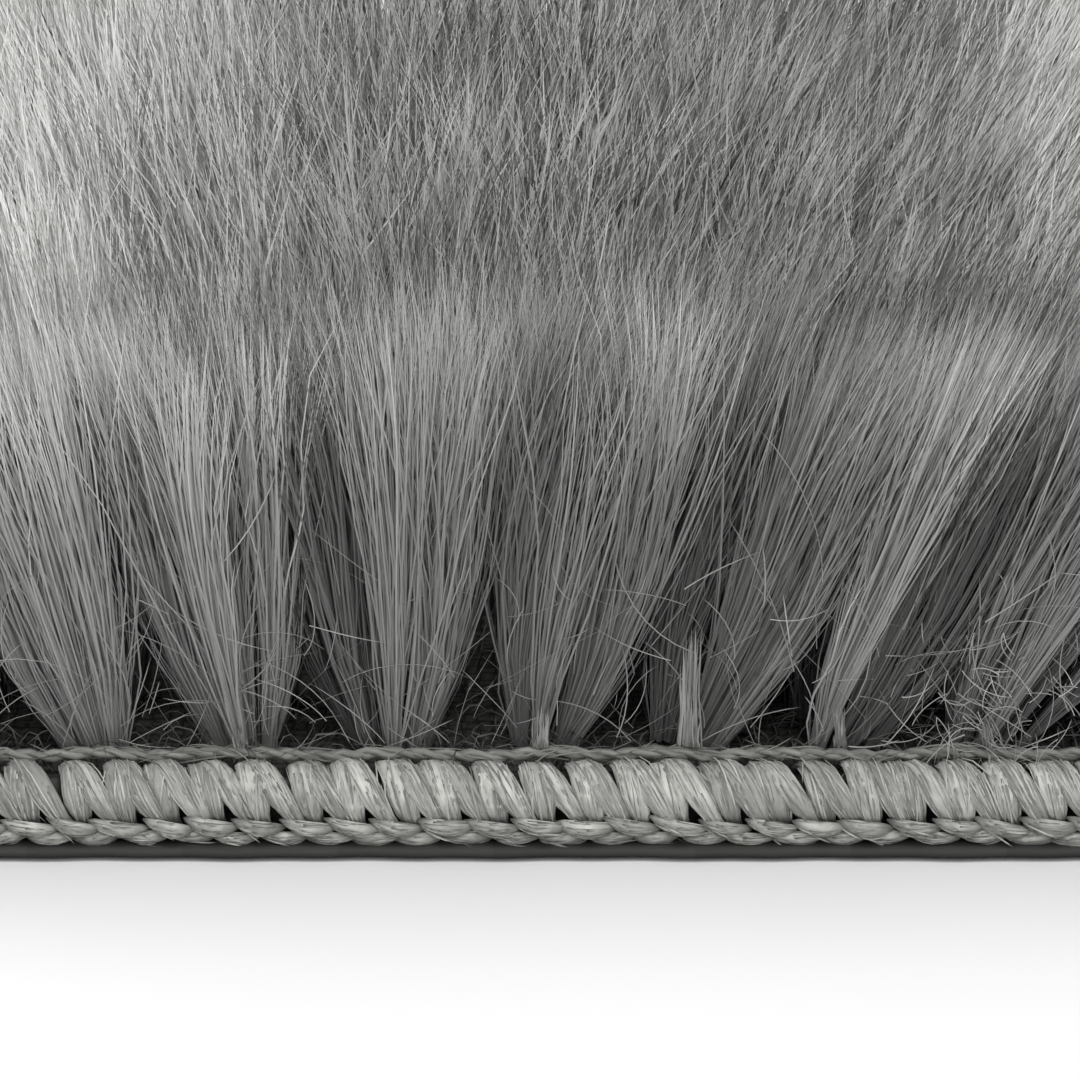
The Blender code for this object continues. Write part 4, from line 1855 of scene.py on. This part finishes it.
@dataclass
class Studio:
    """The white floor, the soft lights and the camera.

    Attributes:
        target: Point that the camera faces.
        distance: Distance from it.
        pitch: How far the camera looks down.
        view: Its angle of view.
        sensor: Width of its sensor, in millimetres.
        clip: Nearest and furthest distance that it sees.
        dome: Strength of the light from all round.
        floor_half: Half the floor's width.
        floor_shift: How far back the floor's middle lies.
        rise_from: Line behind the mat from which the floor rises.
        rise: Its height one metre past that line.
        lights: The soft lights.
    """

    target: Triple = (0.0, -0.057, 0.021)
    distance: float = 0.300
    pitch: float = math.radians(21.0)
    view: float = math.radians(14.0)
    sensor: float = 36.0
    clip: Pair = (0.01, 20.0)
    dome: float = 0.66
    floor_half: float = 1.5
    floor_shift: float = 0.6
    rise_from: float = 0.9
    rise: float = 0.35
    lights: tuple[SoftLight, ...] = (
        SoftLight("left_light", (-0.24, 0.0, 0.22), (-0.03, -0.03, 0.03), (0.16, 0.16), 0.60),
        SoftLight("right_light", (0.26, 0.0, 0.22), (0.03, -0.03, 0.03), (0.16, 0.16), 0.45),
        SoftLight("top_light", (-0.06, -0.13, 0.75), (0.0, -0.05, 0.0), (0.34, 0.30), 2.5),
        SoftLight("front_light", (0.0, -0.46, 0.50), (0.0, -0.06, 0.01), (0.50, 0.40), 1.1),
    )

    def floor(self) -> None:
        """Lays a broad floor whose far part rises gently, a backdrop in one sheet.

        The height is zero up to a line behind the mat, and then the square of the distance
        past that line times the rise.
        """
        side = np.linspace(-self.floor_half, self.floor_half, 25)
        x, y = np.meshgrid(side, side + self.floor_shift, indexing="ij")
        z = self.rise * np.clip(y - self.rise_from, 0, None) ** 2
        quads = grid_quads(np.arange(x.size).reshape(x.shape))
        points = np.stack([x, y, z], axis=2).reshape(-1, 3)
        floor = Surface(points, quads.reshape(-1), np.full(len(quads), 4))
        floor.to_object("floor", FloorFinish().material())

    def camera(self) -> None:
        """Sets the camera on its line of sight."""
        data = bpy.data.cameras.new("camera")
        data.sensor_width = self.sensor
        data.lens = self.sensor / 2 / math.tan(self.view / 2)
        data.clip_start, data.clip_end = self.clip
        camera = bpy.data.objects.new("camera", data)
        away = self.distance * Vector((0.0, -math.cos(self.pitch), math.sin(self.pitch)))
        camera.location = Vector(self.target) + away
        camera.rotation_euler = (math.pi / 2 - self.pitch, 0.0, 0.0)
        bpy.context.scene.collection.objects.link(camera)
        bpy.context.scene.camera = camera

    def world(self) -> None:
        """Lights everything evenly from all round."""
        world = bpy.data.worlds.new("studio")
        world.use_nodes = True
        background = world.node_tree.nodes["Background"].inputs
        background["Color"].default_value = (1.0, 1.0, 1.0, 1.0)
        background["Strength"].default_value = self.dome
        bpy.context.scene.world = world
        bpy.context.scene.view_settings.view_transform = "Standard"

    def build(self) -> None:
        """Sets up the whole studio."""
        self.floor()
        self.camera()
        self.world()
        for light in self.lights:
            light.build()


def main() -> None:
    logging.basicConfig(level=logging.INFO, format="%(name)s: %(message)s")
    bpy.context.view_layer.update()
    plan, edge = TuftPlan(), EdgePath()
    Studio().build()
    cloth, fuzz = GroundCloth(edge, plan).build()
    trims = Overcasting(edge).build() + LaidThread(edge).build() + EdgeChain(edge).build()
    pile = Pile(plan).build()
    ends = LooseEnds(edge, plan).build()
    for piece in (cloth, fuzz, *trims, *pile, *ends):
        triangles = sum(len(polygon.vertices) - 2 for polygon in piece.data.polygons)
        log.info("%s: %d triangles", piece.name, triangles)


if __name__ == "__main__":
    main()
